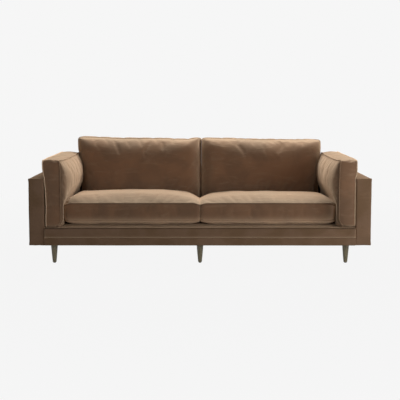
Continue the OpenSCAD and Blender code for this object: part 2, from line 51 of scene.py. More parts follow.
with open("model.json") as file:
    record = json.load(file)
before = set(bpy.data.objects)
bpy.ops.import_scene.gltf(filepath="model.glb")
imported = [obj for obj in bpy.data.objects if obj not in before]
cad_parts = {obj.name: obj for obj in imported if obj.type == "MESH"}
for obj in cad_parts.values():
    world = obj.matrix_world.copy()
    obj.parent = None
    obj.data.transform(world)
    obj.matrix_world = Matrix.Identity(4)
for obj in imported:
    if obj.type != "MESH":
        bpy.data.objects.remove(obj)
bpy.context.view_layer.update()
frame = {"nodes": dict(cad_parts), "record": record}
SIDES = {"left": -1, "right": 1}


# Sizes read from the frame


def low(node):
    return np.array(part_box(node)[0])


def high(node):
    return np.array(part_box(node)[1])


def corners(node):
    return low(node), high(node)


DECK_Z = high("deck_cloth")[2]
PANEL_FRONT_Y = low("arm_left_cover")[1]
BACK_FACE_Y = low("back_cover")[1]
ARM_FACE_X = low("arm_right_cover")[0]

# Room between a cushion and the hard piece it rests on, and how far it may swell past that piece
CLEAR = 0.0005
BULGE = 0.012

# Where soft pieces meet: the arm cushions' inner face and seams, and the sides of the seats and backs
ARM_INNER_X = -high("arm_cushion_left_cover")[0]
ARM_BAND_X = ARM_INNER_X + 0.013
SEAT_SIDE_X = ARM_BAND_X - 0.0025
BACK_SIDE_X = ARM_BAND_X - 0.0035
ARM_TOP_Z = high("arm_cushion_left_cover")[2]
TOUCH = 0.0002

# The back cushions: their boxing, lean and stand-off from the panel, where the two part, how far the arm
# cushions push them in and over what height, and the slope at which they swell round the arm cushions
BACK_BOXING = 0.096
BACK_LEAN = math.radians(3.5)
BACK_STAND = 0.005
BACK_PART_X = 0.010
BACK_SQUEEZE = 0.022
SQUEEZE_HEIGHT = 0.25
CONTACT_SLOPE = 0.6

# Over what height above the seats and panels the loose cushions swell out, and how far the backs swell
# forwards and backwards there, and the arm cushions inwards
SEAT_EASE = 0.12
PANEL_EASE = 0.09
BACK_SWELL = 0.12
REAR_SWELL = 0.03
ARM_SWELL = 0.06

# How fast the arm cushions widen inwards before the seats' front
FRONT_FLARE = 0.18

# How far the back cushions lie out over the arm cushions
OVER_ARM = {"left": 0.011, "right": 0.001}

# How far the arm cushions' outer seams draw in at these heights, and lie out over the panels above them
ARM_TUCK_HEIGHTS = (0.27, 0.48, 0.56, 0.62)
ARM_TUCKS = {"left": (0.011, 0.011, 0.003, -0.007), "right": (-0.006, 0.001, -0.001, -0.006)}

# How the cushions' cloth is cut: the width of the fine cells beside the seams, and their number along it
EASE = 0.025
EASE_CELLS = 5


# What a user would change


def amount(name, description, default, **settings):
    return bpy.props.FloatProperty(name=name, description=description, default=default, **settings)


def length(name, description, default):
    return amount(name, description, default, unit="LENGTH", precision=4)


def power(name, description, default):
    return amount(name, description + ", in watts", default, min=0)


def tone(name, description, default):
    """A colour, given as an sRGB hex value."""
    return bpy.props.FloatVectorProperty(
        name=name, description=description, default=linear(default), subtype="COLOR", size=3, min=0, max=1)


def linear(hex_value):
    """Linear red, green and blue of an sRGB hex value such as 0x6b4f3a."""
    shares = [((hex_value >> shift) & 255) / 255 for shift in (16, 8, 0)]
    return tuple(c / 12.92 if c <= 0.04045 else ((c + 0.055) / 1.055) ** 2.4 for c in shares)


class SofaCushionSizes(bpy.types.PropertyGroup):
    cell: length("Cell", "Size of the cells that a cushion's cloth is cut into", 0.0125)
    welt: length("Welt radius", "Radius of the cord along a seat or back cushion's seams", 0.0019)
    arm_welt: length("Arm welt radius", "Radius of the cord along an arm cushion's seams", 0.0032)
    seat_boxing: length("Seat boxing", "Height of a seat cushion between its seams", 0.115)
    seat_seam: length("Seat seam height", "Height of a seat cushion's lower seam over the deck", 0.028)
    seat_roll: length("Seat roll", "Rise of a seat cushion's top in the rolls beside its seams", 0.027)
    seat_crown: length("Seat crown", "Further rise of a seat cushion's top to its middle", 0.018)
    seat_droop: length("Seat droop", "How far a seat cushion sinks at its rear inner corner", 0.036)
    back_roll: length("Back roll", "Swell of a back cushion's front in the rolls beside its seams", 0.092)
    back_crown: length("Back crown", "Further swell of a back cushion's front to its middle", 0.006)
    arm_roll: length("Arm roll", "Swell of an arm cushion's inner face beside its seams", 0.014)
    arm_crown: length("Arm crown", "Further swell of an arm cushion's inner face to its middle", 0.034)
    draw: length("Draw-in", "How far a cushion's long sides pull in between its corners", 0.006)
    spare: amount("Spare cloth", "Share by which the cover is longer than what it wraps", 0.012)


class SofaPanelSizes(bpy.types.PropertyGroup):
    panel_round: length("Panel edge radius", "Radius of an arm or back panel's padded edges", 0.011)
    rail_top_round: length("Rail top radius", "Radius of the padded rail's upper front edge", 0.009)
    rail_low_round: length("Rail lower radius", "Radius of the padded rail's lower front edge", 0.010)
    rail_end_round: length("Rail end radius", "Radius of the padded rail's ends", 0.0065)
    pleat: length("Pleat length", "Length of the folded pleat at a panel's upper front corner", 0.042)
    waves: length("Waviness", "Height of the slow waves in a stretched cover", 0.0006)


class SofaLegSizes(bpy.types.PropertyGroup):
    tip_round: length("Tip radius", "Radius of the rounding at a leg's tip", 0.0045)
    top_ease: length("Top ease", "Chamfer at the top of a leg", 0.0012)
    belly: length("Belly", "How far a leg's side bows out between its ends", 0.0006)


class SofaColours(bpy.types.PropertyGroup):
    velvet: tone("Cushion velvet", "Pile seen straight on", 0x784D31)
    velvet_deep: tone("Cushion velvet, deep", "Pile that leans away", 0x603B24)
    stretched: tone("Panel velvet", "Pile on the stretched covers, seen straight on", 0x826550)
    stretched_deep: tone("Panel velvet, deep", "Pile on the stretched covers that leans away", 0x73573F)
    # Painted light: a pale colour for painted highlights and a dark one for painted shade, laid on the
    # cushions and the rail
    velvet_painted_highlight: tone("Velvet, open", "Pile that stands apart over a seam", 0xDABB9C)
    velvet_painted_shade: tone("Velvet, laid", "Pile brushed flat towards the eye", 0x2A160B)
    velvet_sheen: tone("Velvet sheen", "Light caught by the tips of the pile", 0xF6DAB9)
    oak: tone("Fumed oak", "Wood between the pores", 0x7A6F52)
    oak_dark: tone("Fumed oak, dark", "Pores and late wood", 0x4A4230)
    lining: tone("Lining", "Spun lining under the base", 0x1C1B1A)
    beech: tone("Beech", "Planed beech timber", 0xC9A882)
    hardboard: tone("Hardboard", "Pressed wood fibre", 0x8A6A4A)
    foam: tone("Foam", "Cut foam", 0xE9E0C2)
    webbing: tone("Webbing", "Woven strap", 0x4A4643)
    felt: tone("Felt", "Needled felt", 0xC9C6BE)
    zinc: tone("Zinc", "Zinc-plated steel", 0xB9BCBF)
    glide: tone("Glide", "Moulded polyethylene", 0x24211E)


class SofaStage(bpy.types.PropertyGroup):
    distance: length("Camera distance", "From the lens to the arm panels' front", 4.7)
    height: length("Camera height", "Height of the lens over the floor", 1.099)
    pitch: amount("Camera pitch", "Degrees below level", 4.215)
    lens: amount("Focal length", "In millimetres on a 36 mm sensor", 66.57)
    shift: amount("Shift", "Vertical shift, in frame widths", -0.129)
    top_power: power("Top light", "Softbox above and behind the back cushions", 185)
    side_power: power("Side light", "Softbox beside the right arm", 20)
    right_power: power("Right light", "Softbox right of the camera", 21)
    left_power: power("Left light", "Softbox left of the camera", 20)
    bounce: amount("Bounce", "Strength of the light off the paper floor", 0.07)
    fill: amount("Fill", "Strength of the even light all round", 0.0)
    backdrop: tone("Backdrop", "Paper behind and under the sofa", 0xF6F6F6)


def sizes(context):
    return context.scene.sofa


class SofaSettings(bpy.types.PropertyGroup):
    cushions: bpy.props.PointerProperty(type=SofaCushionSizes)
    panels: bpy.props.PointerProperty(type=SofaPanelSizes)
    legs: bpy.props.PointerProperty(type=SofaLegSizes)
    colours: bpy.props.PointerProperty(type=SofaColours)
    stage: bpy.props.PointerProperty(type=SofaStage)


# Meshes


def places(*runs):
    """Shares from -1 to 1 along a side made of runs, each a (length, step) pair."""
    spots = [0.0]
    for run, step in runs:
        count = max(1, round(run / step))
        spots += list(spots[-1] + run * np.arange(1, count + 1) / count)
    return 2 * np.array(spots) / spots[-1] - 1


def shell(us, vs, ws):
    """The surface of a box cut at these shares: its points, faces, and each point's number by place."""
    cuts = (us, vs, ws)
    numbers, points, faces = {}, [], []

    def number(place):
        if place not in numbers:
            numbers[place] = len(points)
            points.append([cut[i] for cut, i in zip(cuts, place)])
        return numbers[place]

    for axis in range(3):
        across, up = (axis + 1) % 3, (axis + 2) % 3
        for end in (0, len(cuts[axis]) - 1):
            for i in range(len(cuts[across]) - 1):
                for j in range(len(cuts[up]) - 1):
                    quad = []
                    for di, dj in ((0, 0), (1, 0), (1, 1), (0, 1)):
                        place = [0, 0, 0]
                        place[axis], place[across], place[up] = end, i + di, j + dj
                        quad.append(number(tuple(place)))
                    faces.append(quad if end else quad[::-1])
    return np.array(points), faces, numbers


def cut_box(runs):
    """The surface of a box whose sides are cut into these runs: its points in shares, and its faces."""
    return shell(*[places(*side) for side in runs])[:2]


def seam_ring(numbers, us, vs, k):
    """Numbers of the points round the edge of layer k, in order."""
    m, n = len(us) - 1, len(vs) - 1
    way = [(i, 0) for i in range(m)] + [(m, j) for j in range(n)]
    way += [(i, n) for i in range(m, 0, -1)] + [(0, j) for j in range(n, 0, -1)]
    return [numbers[(i, j, k)] for i, j in way]


def ripple(points, wave, seed, count=7):
    """A smooth field from about -1 to 1 over points, with waves about this long in all directions."""
    draw = np.random.default_rng(seed)
    ways = draw.normal(size=(count, 3))
    ways *= draw.uniform(0.7, 1.3, (count, 1)) / np.linalg.norm(ways, axis=1, keepdims=True)
    turns = points @ ways.T * math.tau / wave + draw.uniform(0, math.tau, count)
    return np.sin(turns).sum(axis=1) / math.sqrt(count)


def ramp(distance, reach):
    """A share that rises from 0 to 1 over this reach."""
    return np.clip(distance / reach, 0, 1)


def rounded(points, half, radius):
    """Points on a box of these half sizes, moved so that its edges have this radius."""
    inner = np.clip(points, radius - half, half - radius)
    away = points - inner
    reach = np.linalg.norm(away, axis=1, keepdims=True)
    return inner + away / np.maximum(reach, 1e-9) * np.minimum(reach, radius)


def new_piece(name, points, faces, body, slot, replaced=()):
    """A mesh piece that rides on a body, takes a slot's finish, and stands for the replaced nodes."""
    mesh = bpy.data.meshes.new(name)
    mesh.from_pydata([tuple(p) for p in points], [], [tuple(f) for f in faces])
    mesh.polygons.foreach_set("use_smooth", [True] * len(mesh.polygons))
    mesh.validate()
    piece = bpy.data.objects.new(name, mesh)
    bpy.context.scene.collection.objects.link(piece)
    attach(piece, body)
    if replaced:
        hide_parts(*replaced)
    piece.data.materials.append(finish(slot))
    return piece


def finish(slot):
    """The material made for one of the record's slots."""
    return bpy.data.materials["sofa " + slot]


def mesh_points(mesh):
    flat = np.empty(3 * len(mesh.vertices))
    mesh.vertices.foreach_get("co", flat)
    return flat.reshape(-1, 3)


def set_points(mesh, points):
    mesh.vertices.foreach_set("co", np.asarray(points, float).ravel())
    mesh.update()


def point_normals(mesh):
    flat = np.empty(3 * len(mesh.vertices))
    mesh.vertex_normals.foreach_get("vector", flat)
    return flat.reshape(-1, 3)


def joined(*parts):
    """Points and faces of several (points, faces) parts together."""
    points, faces = [], []
    for part_points, part_faces in parts:
        start = len(points)
        points += [tuple(p) for p in part_points]
        faces += [[i + start for i in face] for face in part_faces]
    return points, faces


def tube(path, outward, radius, sides=8):
    """A closed round tube along a closed path; outward points away from what the tube lies on."""
    path = np.asarray(path)
    along = np.roll(path, -1, axis=0) - np.roll(path, 1, axis=0)
    along /= np.linalg.norm(along, axis=1, keepdims=True)
    out = outward - (outward * along).sum(axis=1, keepdims=True) * along
    out /= np.linalg.norm(out, axis=1, keepdims=True)
    side = np.cross(along, out)
    points, count = [], len(path)
    for s in range(sides):
        turn = math.tau * s / sides
        points.append(path + radius * (math.cos(turn) * out + math.sin(turn) * side))
    points = np.stack(points, axis=1).reshape(-1, 3)
    faces = []
    for i in range(count):
        for s in range(sides):
            a, b = i * sides, (i + 1) % count * sides
            t = (s + 1) % sides
            faces.append([a + s, a + t, b + t, b + s])
    return points, faces


def lathe(profile, turns, place):
    """A solid turned from (radius, height) pairs, from its bottom centre to its top centre."""
    points, faces = [], []
    x, y = place
    for radius, z in profile:
        for t in range(turns):
            angle = math.tau * t / turns
            points.append((x + radius * math.cos(angle), y + radius * math.sin(angle), z))
    for k in range(len(profile) - 1):
        for t in range(turns):
            a, b = k * turns, (k + 1) * turns
            s = (t + 1) % turns
            faces.append([a + t, a + s, b + s, b + t])
    faces.append(list(range(turns))[::-1])
    faces.append([(len(profile) - 1) * turns + t for t in range(turns)])
    return points, faces


# Cushions

# How the covers' cloth behaves while the filling pushes it out, and for how many frames
CLOTH = {
    "quality": 6, "mass": 0.35, "tension_stiffness": 18, "compression_stiffness": 18, "shear_stiffness": 6,
    "bending_stiffness": 1.2, "air_damping": 3, "use_pressure": True, "uniform_pressure_force": 4,
}
CLOTH_STEPS = 20

# Slow waves in a filled cover, and how sharply its seams fold
SOFT_WAVE = 0.16
SOFT_WAVE_DEPTH = 0.0012
SEAM_CREASE = 0.55

# Gathers beside a seam: (wave length, height) pairs, how far off they start and fade, and their patches
GATHERS = ((0.030, 0.0013), (0.055, 0.0012))
GATHER_START = 0.004
GATHER_FADE = 0.016
GATHER_PATCH = 0.22


def outline(u, v, half, radii):
    """Points of a face with round corners, at shares u and v. The radii are for ++, -+, -- and +-."""
    x, y = half[0] * u, half[1] * v
    r = np.select([(u > 0) & (v > 0), (u <= 0) & (v > 0), (u <= 0) & (v <= 0)], radii[:3], radii[3])
    p = np.maximum(np.abs(x) - (half[0] - r), 0) / r
    q = np.maximum(np.abs(y) - (half[1] - r), 0) / r
    corner = (p > 0) & (q > 0)
    x = np.where(corner, np.sign(x) * (half[0] - r + r * p * np.sqrt(1 - q * q / 2)), x)
    y = np.where(corner, np.sign(y) * (half[1] - r + r * q * np.sqrt(1 - p * p / 2)), y)
    normal = np.stack([np.sign(x) * p, np.sign(y) * q], axis=1)
    return x, y, normal / np.maximum(np.linalg.norm(normal, axis=1, keepdims=True), 1e-9)


def rolled(share, firmness, steepness):
    """Rise of a cushion's face at a share of the way up the roll beside its seam.

    It blends a wide round and a tight one. A steepness of 0.5 leaves the seam upright, and 1 at a slant.
    """
    wide, tight = ((1 - (1 - np.clip(share * k, 0, 1)) ** 2) ** steepness for k in (1.0, 1.7))
    return wide + firmness * (tight - wide)


# What a cushion has unless its own form says otherwise. A form lists sides as +x, -x, +y and -y, and says:
# half, boxing: half sizes of the faces, and the width of the band between them
# radii: the faces' corners, in the order ++, -+, -- and +-
# roll, rolls: rise of the +z face in the rolls beside its seam, and their widths
# crown, crown_power, firmness, steepness: the further rise to the middle, and the shape of both
# low, low_power: rise of the -z face; foot, foot_height: how far it spreads, at the rise where it stands
# swells, draws: how far the band bulges out beside each side, and how far each side pulls in at its middle
# crest, sag: rise of the +y side at shares along x, and how far its seam on the +z face hangs
# droops: how a face sinks towards a corner: signs of x, y and face, depth, reach along x and along y
# seam_highlight, foot_highlight, welt_highlight: strength of the painted highlight by the +z seam, over
# the foot and up the band below it, and on the two welts
# painted_shade: strength of the painted shade on the +z face, over what reach, and from which axis and end
# end_highlight: strength of the painted highlight on the band and the -z face at an end of x, over what
# reach
# gather, cap: strength of the gathers, and how far the filling may push the cloth
# fill, welt: how full the cushion is, and the radius of its welts
PLAIN_FORM = {
    "crown_power": 2, "firmness": 0, "sag": 0, "foot": 0, "foot_height": 1, "seam_highlight": 0, "foot_highlight": 0,
    "painted_shade": (0, 1, 1, -1), "end_highlight": (0, 1, 1), "gather": 1.0, "cap": 0.028,
}
FOOT_REACH = 0.04
# How far the painted highlights reach from the +z face's seams and over the foot
SEAM_HIGHLIGHT_REACH = 0.02
FOOT_HIGHLIGHT_REACH = 0.05
BAND_ROUND = 2.4
DRAW_POWER = 8

# Shares beyond this lie on a face or at an end
FACE = 1 - 1e-6


def by_side(side, inner, outer):
    """The values for +x and -x, from one for the side next to the sofa's middle and one for the other."""
    return (inner, outer) if side < 0 else (outer, inner)


def boxed_form(shares, form):
    """A boxed cushion lying flat: faces that roll up from their seams to a crown, and a band between."""
    u, v, w = shares.T
    right, left, far, near = form["swells"]
    half = np.array(form["half"]) - [(right + left) / 2, (far + near) / 2]
    x, y, out = outline(u, v, half, form["radii"])
    band = (np.abs(u) > FACE) | (np.abs(v) > FACE)
    bulge = np.where(band, 1 - np.abs(w) ** BAND_ROUND, 0)
    x = x + (left - right) / 2 + out[:, 0] * bulge * np.where(u > 0, right, left)
    y = y + (near - far) / 2 + out[:, 1] * bulge * np.where(v > 0, far, near)
    right, left, far, near = form["draws"]
    x = x - np.where(u > 0, right, -left) * np.abs(u) ** DRAW_POWER * (1 - v * v)
    y = y - np.where(v > 0, far, -near) * np.abs(v) ** DRAW_POWER * (1 - u * u)
    y = y + np.interp(u, *form["crest"]) * np.clip(v, 0, 1) ** 2
    y = y - form["sag"] * (1 - u * u) * np.clip(v, 0, 1) ** 2 * (1 + w) / 2
    slack = np.zeros(len(u))
    for sign_x, sign_y, face, depth, reach_x, reach_y in form["droops"]:
        near_x = np.clip(1 - (1 - sign_x * u) * half[0] / reach_x, 0, 1)
        near_y = np.clip(1 - (1 - sign_y * v) * half[1] / reach_y, 0, 1)
        slack += depth * (near_x * near_y) ** 1.5 * np.clip(face * w, 0, 1)
    right, left, far, near = form["rolls"]
    bend = (form["firmness"], form["steepness"])
    roll = rolled((1 - np.abs(u)) * half[0] / np.where(u > 0, right, left), *bend)
    roll *= rolled((1 - np.abs(v)) * half[1] / np.where(v > 0, far, near), *bend)
    domes = [(1 - np.abs(u) ** k) * (1 - np.abs(v) ** k) for k in (form["crown_power"], form["low_power"])]
    top = form["roll"] * roll + form["crown"] * domes[0]
    low = form["low"] * domes[1]
    foot = form["foot"] * np.sin(math.pi * ramp(low, form["foot_height"])) * (w < -FACE)
    x = x + foot * np.sign(u) * np.clip(1 - (1 - np.abs(u)) * half[0] / FOOT_REACH, 0, 1)
    y = y + foot * np.sign(v) * np.clip(1 - (1 - np.abs(v)) * half[1] / FOOT_REACH, 0, 1)
    face = np.where(np.abs(w) > FACE, np.where(w > 0, top, low), 0)
    z = w * form["boxing"] / 2 + np.sign(w) * (face - slack)
    return np.stack([x, y, z], axis=1)


def fill_out(piece, held, spare, cap):
    """Lets the cover fill out under pressure, held at its seams and where it rests. Returns its points."""
    scene = bpy.context.scene
    start = mesh_points(piece.data)
    group = piece.vertex_groups.new(name="held")
    for members in held:
        group.add([int(i) for i in members], 1.0, "REPLACE")
    cloth = piece.modifiers.new("cloth", "CLOTH")
    for key, value in CLOTH.items():
        setattr(cloth.settings, key, value)
    cloth.settings.vertex_group_mass = group.name
    cloth.settings.shrink_min = -spare
    cloth.settings.effector_weights.gravity = 0
    cloth.collision_settings.use_collision = False
    for step in range(1, CLOTH_STEPS + 1):
        scene.frame_set(step)
    settled = mesh_points(piece.evaluated_get(bpy.context.evaluated_depsgraph_get()).data)
    piece.modifiers.remove(cloth)
    scene.frame_set(1)
    moved = settled - start
    size = np.linalg.norm(moved, axis=1, keepdims=True)
    return start + moved * np.minimum(1, cap / np.maximum(size, 1e-9))


def make_cushion(context, name, node, form, place, press, seed):
    """One loose cushion and its welts.

    place puts flat points where they belong, and press keeps them off the cushion's neighbours.
    """
    cushions = sizes(context).cushions
    a, b = form["half"]
    easing = (EASE, EASE / EASE_CELLS)
    us, vs = (places(easing, (2 * (reach - EASE), cushions.cell), easing) for reach in (a, b))
    ws = places((form["boxing"], cushions.cell))
    shares, faces, numbers = shell(us, vs, ws)
    flat = place(boxed_form(shares, form))
    piece = new_piece(name, press(flat), faces, name, "cushion_velvet", [node])
    seams = [seam_ring(numbers, us, vs, k) for k in (0, len(ws) - 1)]
    start = mesh_points(piece.data)
    rests = np.linalg.norm(start - flat, axis=1) > 1e-5
    start = fill_out(piece, [np.nonzero(rests)[0], *seams], cushions.spare, form["cap"])
    soft_wave = SOFT_WAVE_DEPTH * ~rests * ripple(start, SOFT_WAVE, seed)
    start = start + point_normals(piece.data) * soft_wave[:, None]
    set_points(piece.data, press(start))
    on_seam = set(seams[0]) | set(seams[1])
    creases = [SEAM_CREASE if set(e.vertices) <= on_seam else 0.0 for e in piece.data.edges]
    piece.data.attributes.new("crease_edge", "FLOAT", "EDGE").data.foreach_set("value", creases)
    gap = np.minimum((1 - np.abs(shares[:, 0])) * a, (1 - np.abs(shares[:, 1])) * b)
    band_gap = (1 - np.abs(shares[:, 2])) * form["boxing"] / 2
    seam_gap = np.where(np.abs(shares[:, 2]) > FACE, gap, band_gap)
    piece.data.attributes.new("seam_gap", "FLOAT", "POINT").data.foreach_set("value", seam_gap)
    # Painted highlights and painted shade on the cover, as the form gives them
    mark_painted_light(piece, painted_light_shares(shares, a, b, gap, form))
    finer(piece)
    pucker(piece, press, form["gather"], seed)
    points, normals = mesh_points(piece.data), point_normals(piece.data)
    rings, welt_light_shares = [], []
    # Each welt carries a painted highlight of the form's strength
    for seam, light_share in zip(seams, form["welt_highlight"]):
        path = press(points[seam] + normals[seam] * form["welt"] * 0.5, form["welt"])
        rings.append(tube(path, normals[seam], form["welt"]))
        welt_light_shares += [light_share] * len(rings[-1][0])
    welts = new_piece(name + "_welts", *joined(*rings), name, "cushion_velvet")
    mark_painted_light(welts, welt_light_shares)


def painted_light_shares(shares, a, b, gap, form):
    """Painted highlights by the +z face's seams, over the foot and at one end, and painted shade by one
    side.
    """
    u, _, w = shares.T
    above, below = w > FACE, w < -FACE
    # Painted highlight by the +z seams, over the foot, and growing down the band's lower half
    light_share = form["seam_highlight"] * np.exp(-gap / SEAM_HIGHLIGHT_REACH) * above
    light_share += form["foot_highlight"] * np.exp(-gap / FOOT_HIGHLIGHT_REACH) * below
    light_share += 0.9 * form["foot_highlight"] * np.clip(-w, 0, 1) ** 1.7 * ~below
    # Painted shade on the +z face by one side
    strength, reach, axis, end = form["painted_shade"]
    light_share -= strength * np.exp(-(1 - end * shares[:, axis]) * (a, b)[axis] / reach) * above
    # Painted highlight on the band and the -z face at one end of x
    strength, reach, end = form["end_highlight"]
    return light_share + strength * np.exp(-(1 - end * u) * a / reach) * ~above


def mark_painted_light(piece, shares):
    """Marks the painted light at each point: 1 for a full painted highlight, -1 for full painted shade."""
    piece.data.attributes.new("pile_open", "FLOAT", "POINT").data.foreach_set("value", shares)


def finer(piece):
    """Applies one level of subdivision."""
    piece.modifiers.new("finer", "SUBSURF").levels = 1
    smooth = bpy.data.meshes.new_from_object(piece.evaluated_get(bpy.context.evaluated_depsgraph_get()))
    piece.modifiers.clear()
    piece.data = smooth


def pucker(piece, press, strength, seed):
    """Small gathers beside the seams, where the stitches hold the pile cloth short."""
    points, normals = mesh_points(piece.data), point_normals(piece.data)
    gap = np.empty(len(points))
    piece.data.attributes["seam_gap"].data.foreach_get("value", gap)
    near = np.exp(-gap / GATHER_FADE) * (1 - np.exp(-gap / GATHER_START))
    waves = [height * ripple(points, wave, seed + k) for k, (wave, height) in enumerate(GATHERS, 1)]
    patch = 0.5 + 0.5 * ripple(points, GATHER_PATCH, seed + 3)
    set_points(piece.data, press(points + normals * (strength * sum(waves) * near * patch)[:, None]))


def above_deck(z, room):
    return np.maximum(z, DECK_Z + CLEAR + room)


def cushion_pair(context, make, seed):
    """Calls make for the left and the right cushion of a kind, each with a random seed of its own."""
    for k, (name, side) in enumerate(SIDES.items()):
        make(context, sizes(context).cushions, name, side, seed + k)
    return {"FINISHED"}


class SOFA_OT_seat_cushions(bpy.types.Operator):
    """Two boxed seat cushions, crowned above and pressed flat on the deck"""

    bl_idname = "sofa.seat_cushions"
    bl_label = "Seat cushions"

    def execute(self, context):
        return cushion_pair(context, self.cushion, 10)

    def cushion(self, context, c, name, side, seed):
        node = f"seat_{name}_cover"
        lo, hi = corners(node)
        outer = side * (SEAT_SIDE_X + CLEAR)
        lo[0], hi[0] = sorted((side * TOUCH, outer))
        reach = sorted((side * -0.003, outer))
        mid = np.array([sum(reach) / 2, (lo[1] + hi[1]) / 2, DECK_Z + c.seat_seam + c.seat_boxing / 2])
        fullness = 1 if side < 0 else 0.73
        form = {
            **PLAIN_FORM,
            "half": ((reach[1] - reach[0]) / 2, (hi - lo)[1] / 2), "boxing": c.seat_boxing, "fill": 0.85,
            "roll": fullness * c.seat_roll, "crown": fullness * c.seat_crown, "steepness": 0.9,
            "rolls": (*by_side(side, 0.26, 0.06 if side < 0 else 0.08), 0.12, 0.09),
            "low": c.seat_seam * 1.6, "low_power": 12, "foot": 0.024, "foot_height": c.seat_seam,
            "radii": [0.014, 0.014, 0.014, 0.014 if side < 0 else 0.032],
            "swells": [0.004] * 4, "draws": (0, 0, c.draw, c.draw / 2), "crest": ((-1, 1), (0, 0)),
            # Painted light: painted highlights over the foot, on the welts and at the outer end, and
            # painted shade on the top by the front
            "foot_highlight": 0.5, "painted_shade": (1.0, 0.10, 1, -1), "welt": c.welt, "welt_highlight": (0.2, 0.3),
            "end_highlight": (0.8, 0.010, -1) if side < 0 else (1.0, 0.035, 1), "cap": 0.010,
            "droops": [
                (side, 1, 1, 0.022, 9, 0.35), (-side, 1, 1, c.seat_droop, 0.075, 0.30),
                (-side, -1, 1, 0.012, 0.05, 0.08), (side, -1, 1, 0.014, 0.04, 0.08),
                (side, 1, 1, 0.014, 0.06, 0.10), (-side, -1, -1, 0.006, 0.04, 0.08),
                (side, -1, -1, 0.006, 0.04, 0.08),
            ],
        }

        def place(points):
            return points + mid

        def press(points, room=0.0):
            x, y, z = points.T
            x = np.clip(x, lo[0] + room, hi[0] - room)
            y = np.clip(y, lo[1] - BULGE, hi[1] - room)
            return np.stack([x, y, above_deck(z, room)], axis=1)

        make_cushion(context, f"seat_cushion_{name}", node, form, place, press, seed)


def back_side_x(z):
    """How far out the back cushions reach at height z: the arm cushions push them in lower down."""
    return BACK_SIDE_X - BACK_SQUEEZE * ramp(ARM_TOP_Z - z, SQUEEZE_HEIGHT)


def back_seam_y(z):
    """Where the front seams of the back cushions lie at height z."""
    return BACK_FACE_Y - BACK_STAND - BACK_BOXING + (z - DECK_Z) * math.tan(BACK_LEAN)


class SOFA_OT_back_cushions(bpy.types.Operator):
    """Two boxed back cushions that stand on the deck and lean on the back panel"""

    bl_idname = "sofa.back_cushions"
    bl_label = "Back cushions"

    def execute(self, context):
        return cushion_pair(context, self.cushion, 20)

    def form(self, c, side, half):
        return {
            **PLAIN_FORM,
            "half": half, "boxing": BACK_BOXING, "fill": 0.8,
            "roll": c.back_roll, "crown": c.back_crown, "rolls": (0.11, 0.11, 0.13, 0.14),
            "firmness": 0.1, "steepness": 0.5, "low": 0.010, "low_power": 6,
            "swells": (0.020, 0.008, 0.002, 0.004) if side < 0 else (0.008, 0.012, 0.002, 0.004),
            "draws": (*by_side(side, 0, c.draw / 2), c.draw / 3, 0),
            "crest": self.crest(side), "radii": [0.016, 0.020 if side < 0 else 0.026, 0.022, 0.022],
            "droops": [
                (-side, 1, 1, 0.016, 0.06, 0.08), (side, 1, 1, 0.010, 0.05, 0.07),
                (-1, 1, -1, 0.012, 0.05, 0.07), (1, 1, -1, 0.012, 0.05, 0.07),
            ],
            # Painted light: a painted highlight by the front face's seams and on the welts
            "seam_highlight": 0.35, "gather": 0.6, "welt": c.welt, "welt_highlight": (0.6, 0.6),
        }

    def crest(self, side):
        """The upper edge is a little uneven, and sinks towards the sofa's right end."""
        if side < 0:
            heights = (0.010, 0.009, 0.002, 0.001, -0.008, 0.004, 0.004)
            return (-1, -0.7, -0.35, 0.35, 0.8, 0.95, 1), heights
        return (-1, -0.7, 0, 1), (0.002, 0.001, -0.007, -0.011)

    def cushion(self, context, c, name, side, seed):
        node = f"back_{name}_cover"
        lo, hi = corners(node)
        panel_top = high("back_cover")[2]
        seat_rear_y = high("seat_left_cover")[1]
        seat_top = DECK_Z + c.seat_seam + c.seat_boxing
        over_arm = OVER_ARM[name]
        outer_x = side * (BACK_SIDE_X + over_arm)
        lo[0], hi[0] = sorted((BACK_PART_X + side * TOUCH, outer_x))
        reach = sorted((BACK_PART_X - side * 0.008, outer_x))
        drop = BACK_BOXING / 2 * math.sin(BACK_LEAN)
        height = (hi[2] - DECK_Z + drop) / math.cos(BACK_LEAN) - 0.004
        foot = np.array([sum(reach) / 2, BACK_FACE_Y - BACK_STAND - BACK_BOXING / 2, DECK_Z - drop])
        up = np.array([0, math.sin(BACK_LEAN), math.cos(BACK_LEAN)])
        front = np.array([0, -math.cos(BACK_LEAN), math.sin(BACK_LEAN)])

        def place(points):
            x, y, z = points.T
            return foot + x[:, None] * [1, 0, 0] + (y + height / 2)[:, None] * up + z[:, None] * front

        def press(points, room=0.0):
            x, y, z = points.T
            z = above_deck(z, room)
            outer = back_side_x(z) - room + over_arm * ramp(z - ARM_TOP_Z - 0.004, 0.02)
            x = side * np.minimum(side * np.clip(x, lo[0] + room, hi[0] - room), outer)
            spare = 0.2 * ramp(z - ARM_TOP_Z, 0.03) + 0.003
            beside_arm = back_seam_y(z) - (outer - side * x) / CONTACT_SLOPE - spare
            over_seat = ramp(z - seat_top, SEAT_EASE)
            behind_seat = seat_rear_y + 0.001 + room - BACK_SWELL * np.sqrt(1 - (1 - over_seat) ** 2)
            over_panel = ramp(z - panel_top, PANEL_EASE)
            wall = BACK_FACE_Y - CLEAR - room + REAR_SWELL * over_panel ** 2
            y = np.minimum(np.maximum(y, np.maximum(beside_arm, behind_seat)), wall)
            return np.stack([x, y, z], axis=1)

        form = self.form(c, side, ((reach[1] - reach[0]) / 2, height / 2))
        make_cushion(context, f"back_cushion_{name}", node, form, place, press, seed)


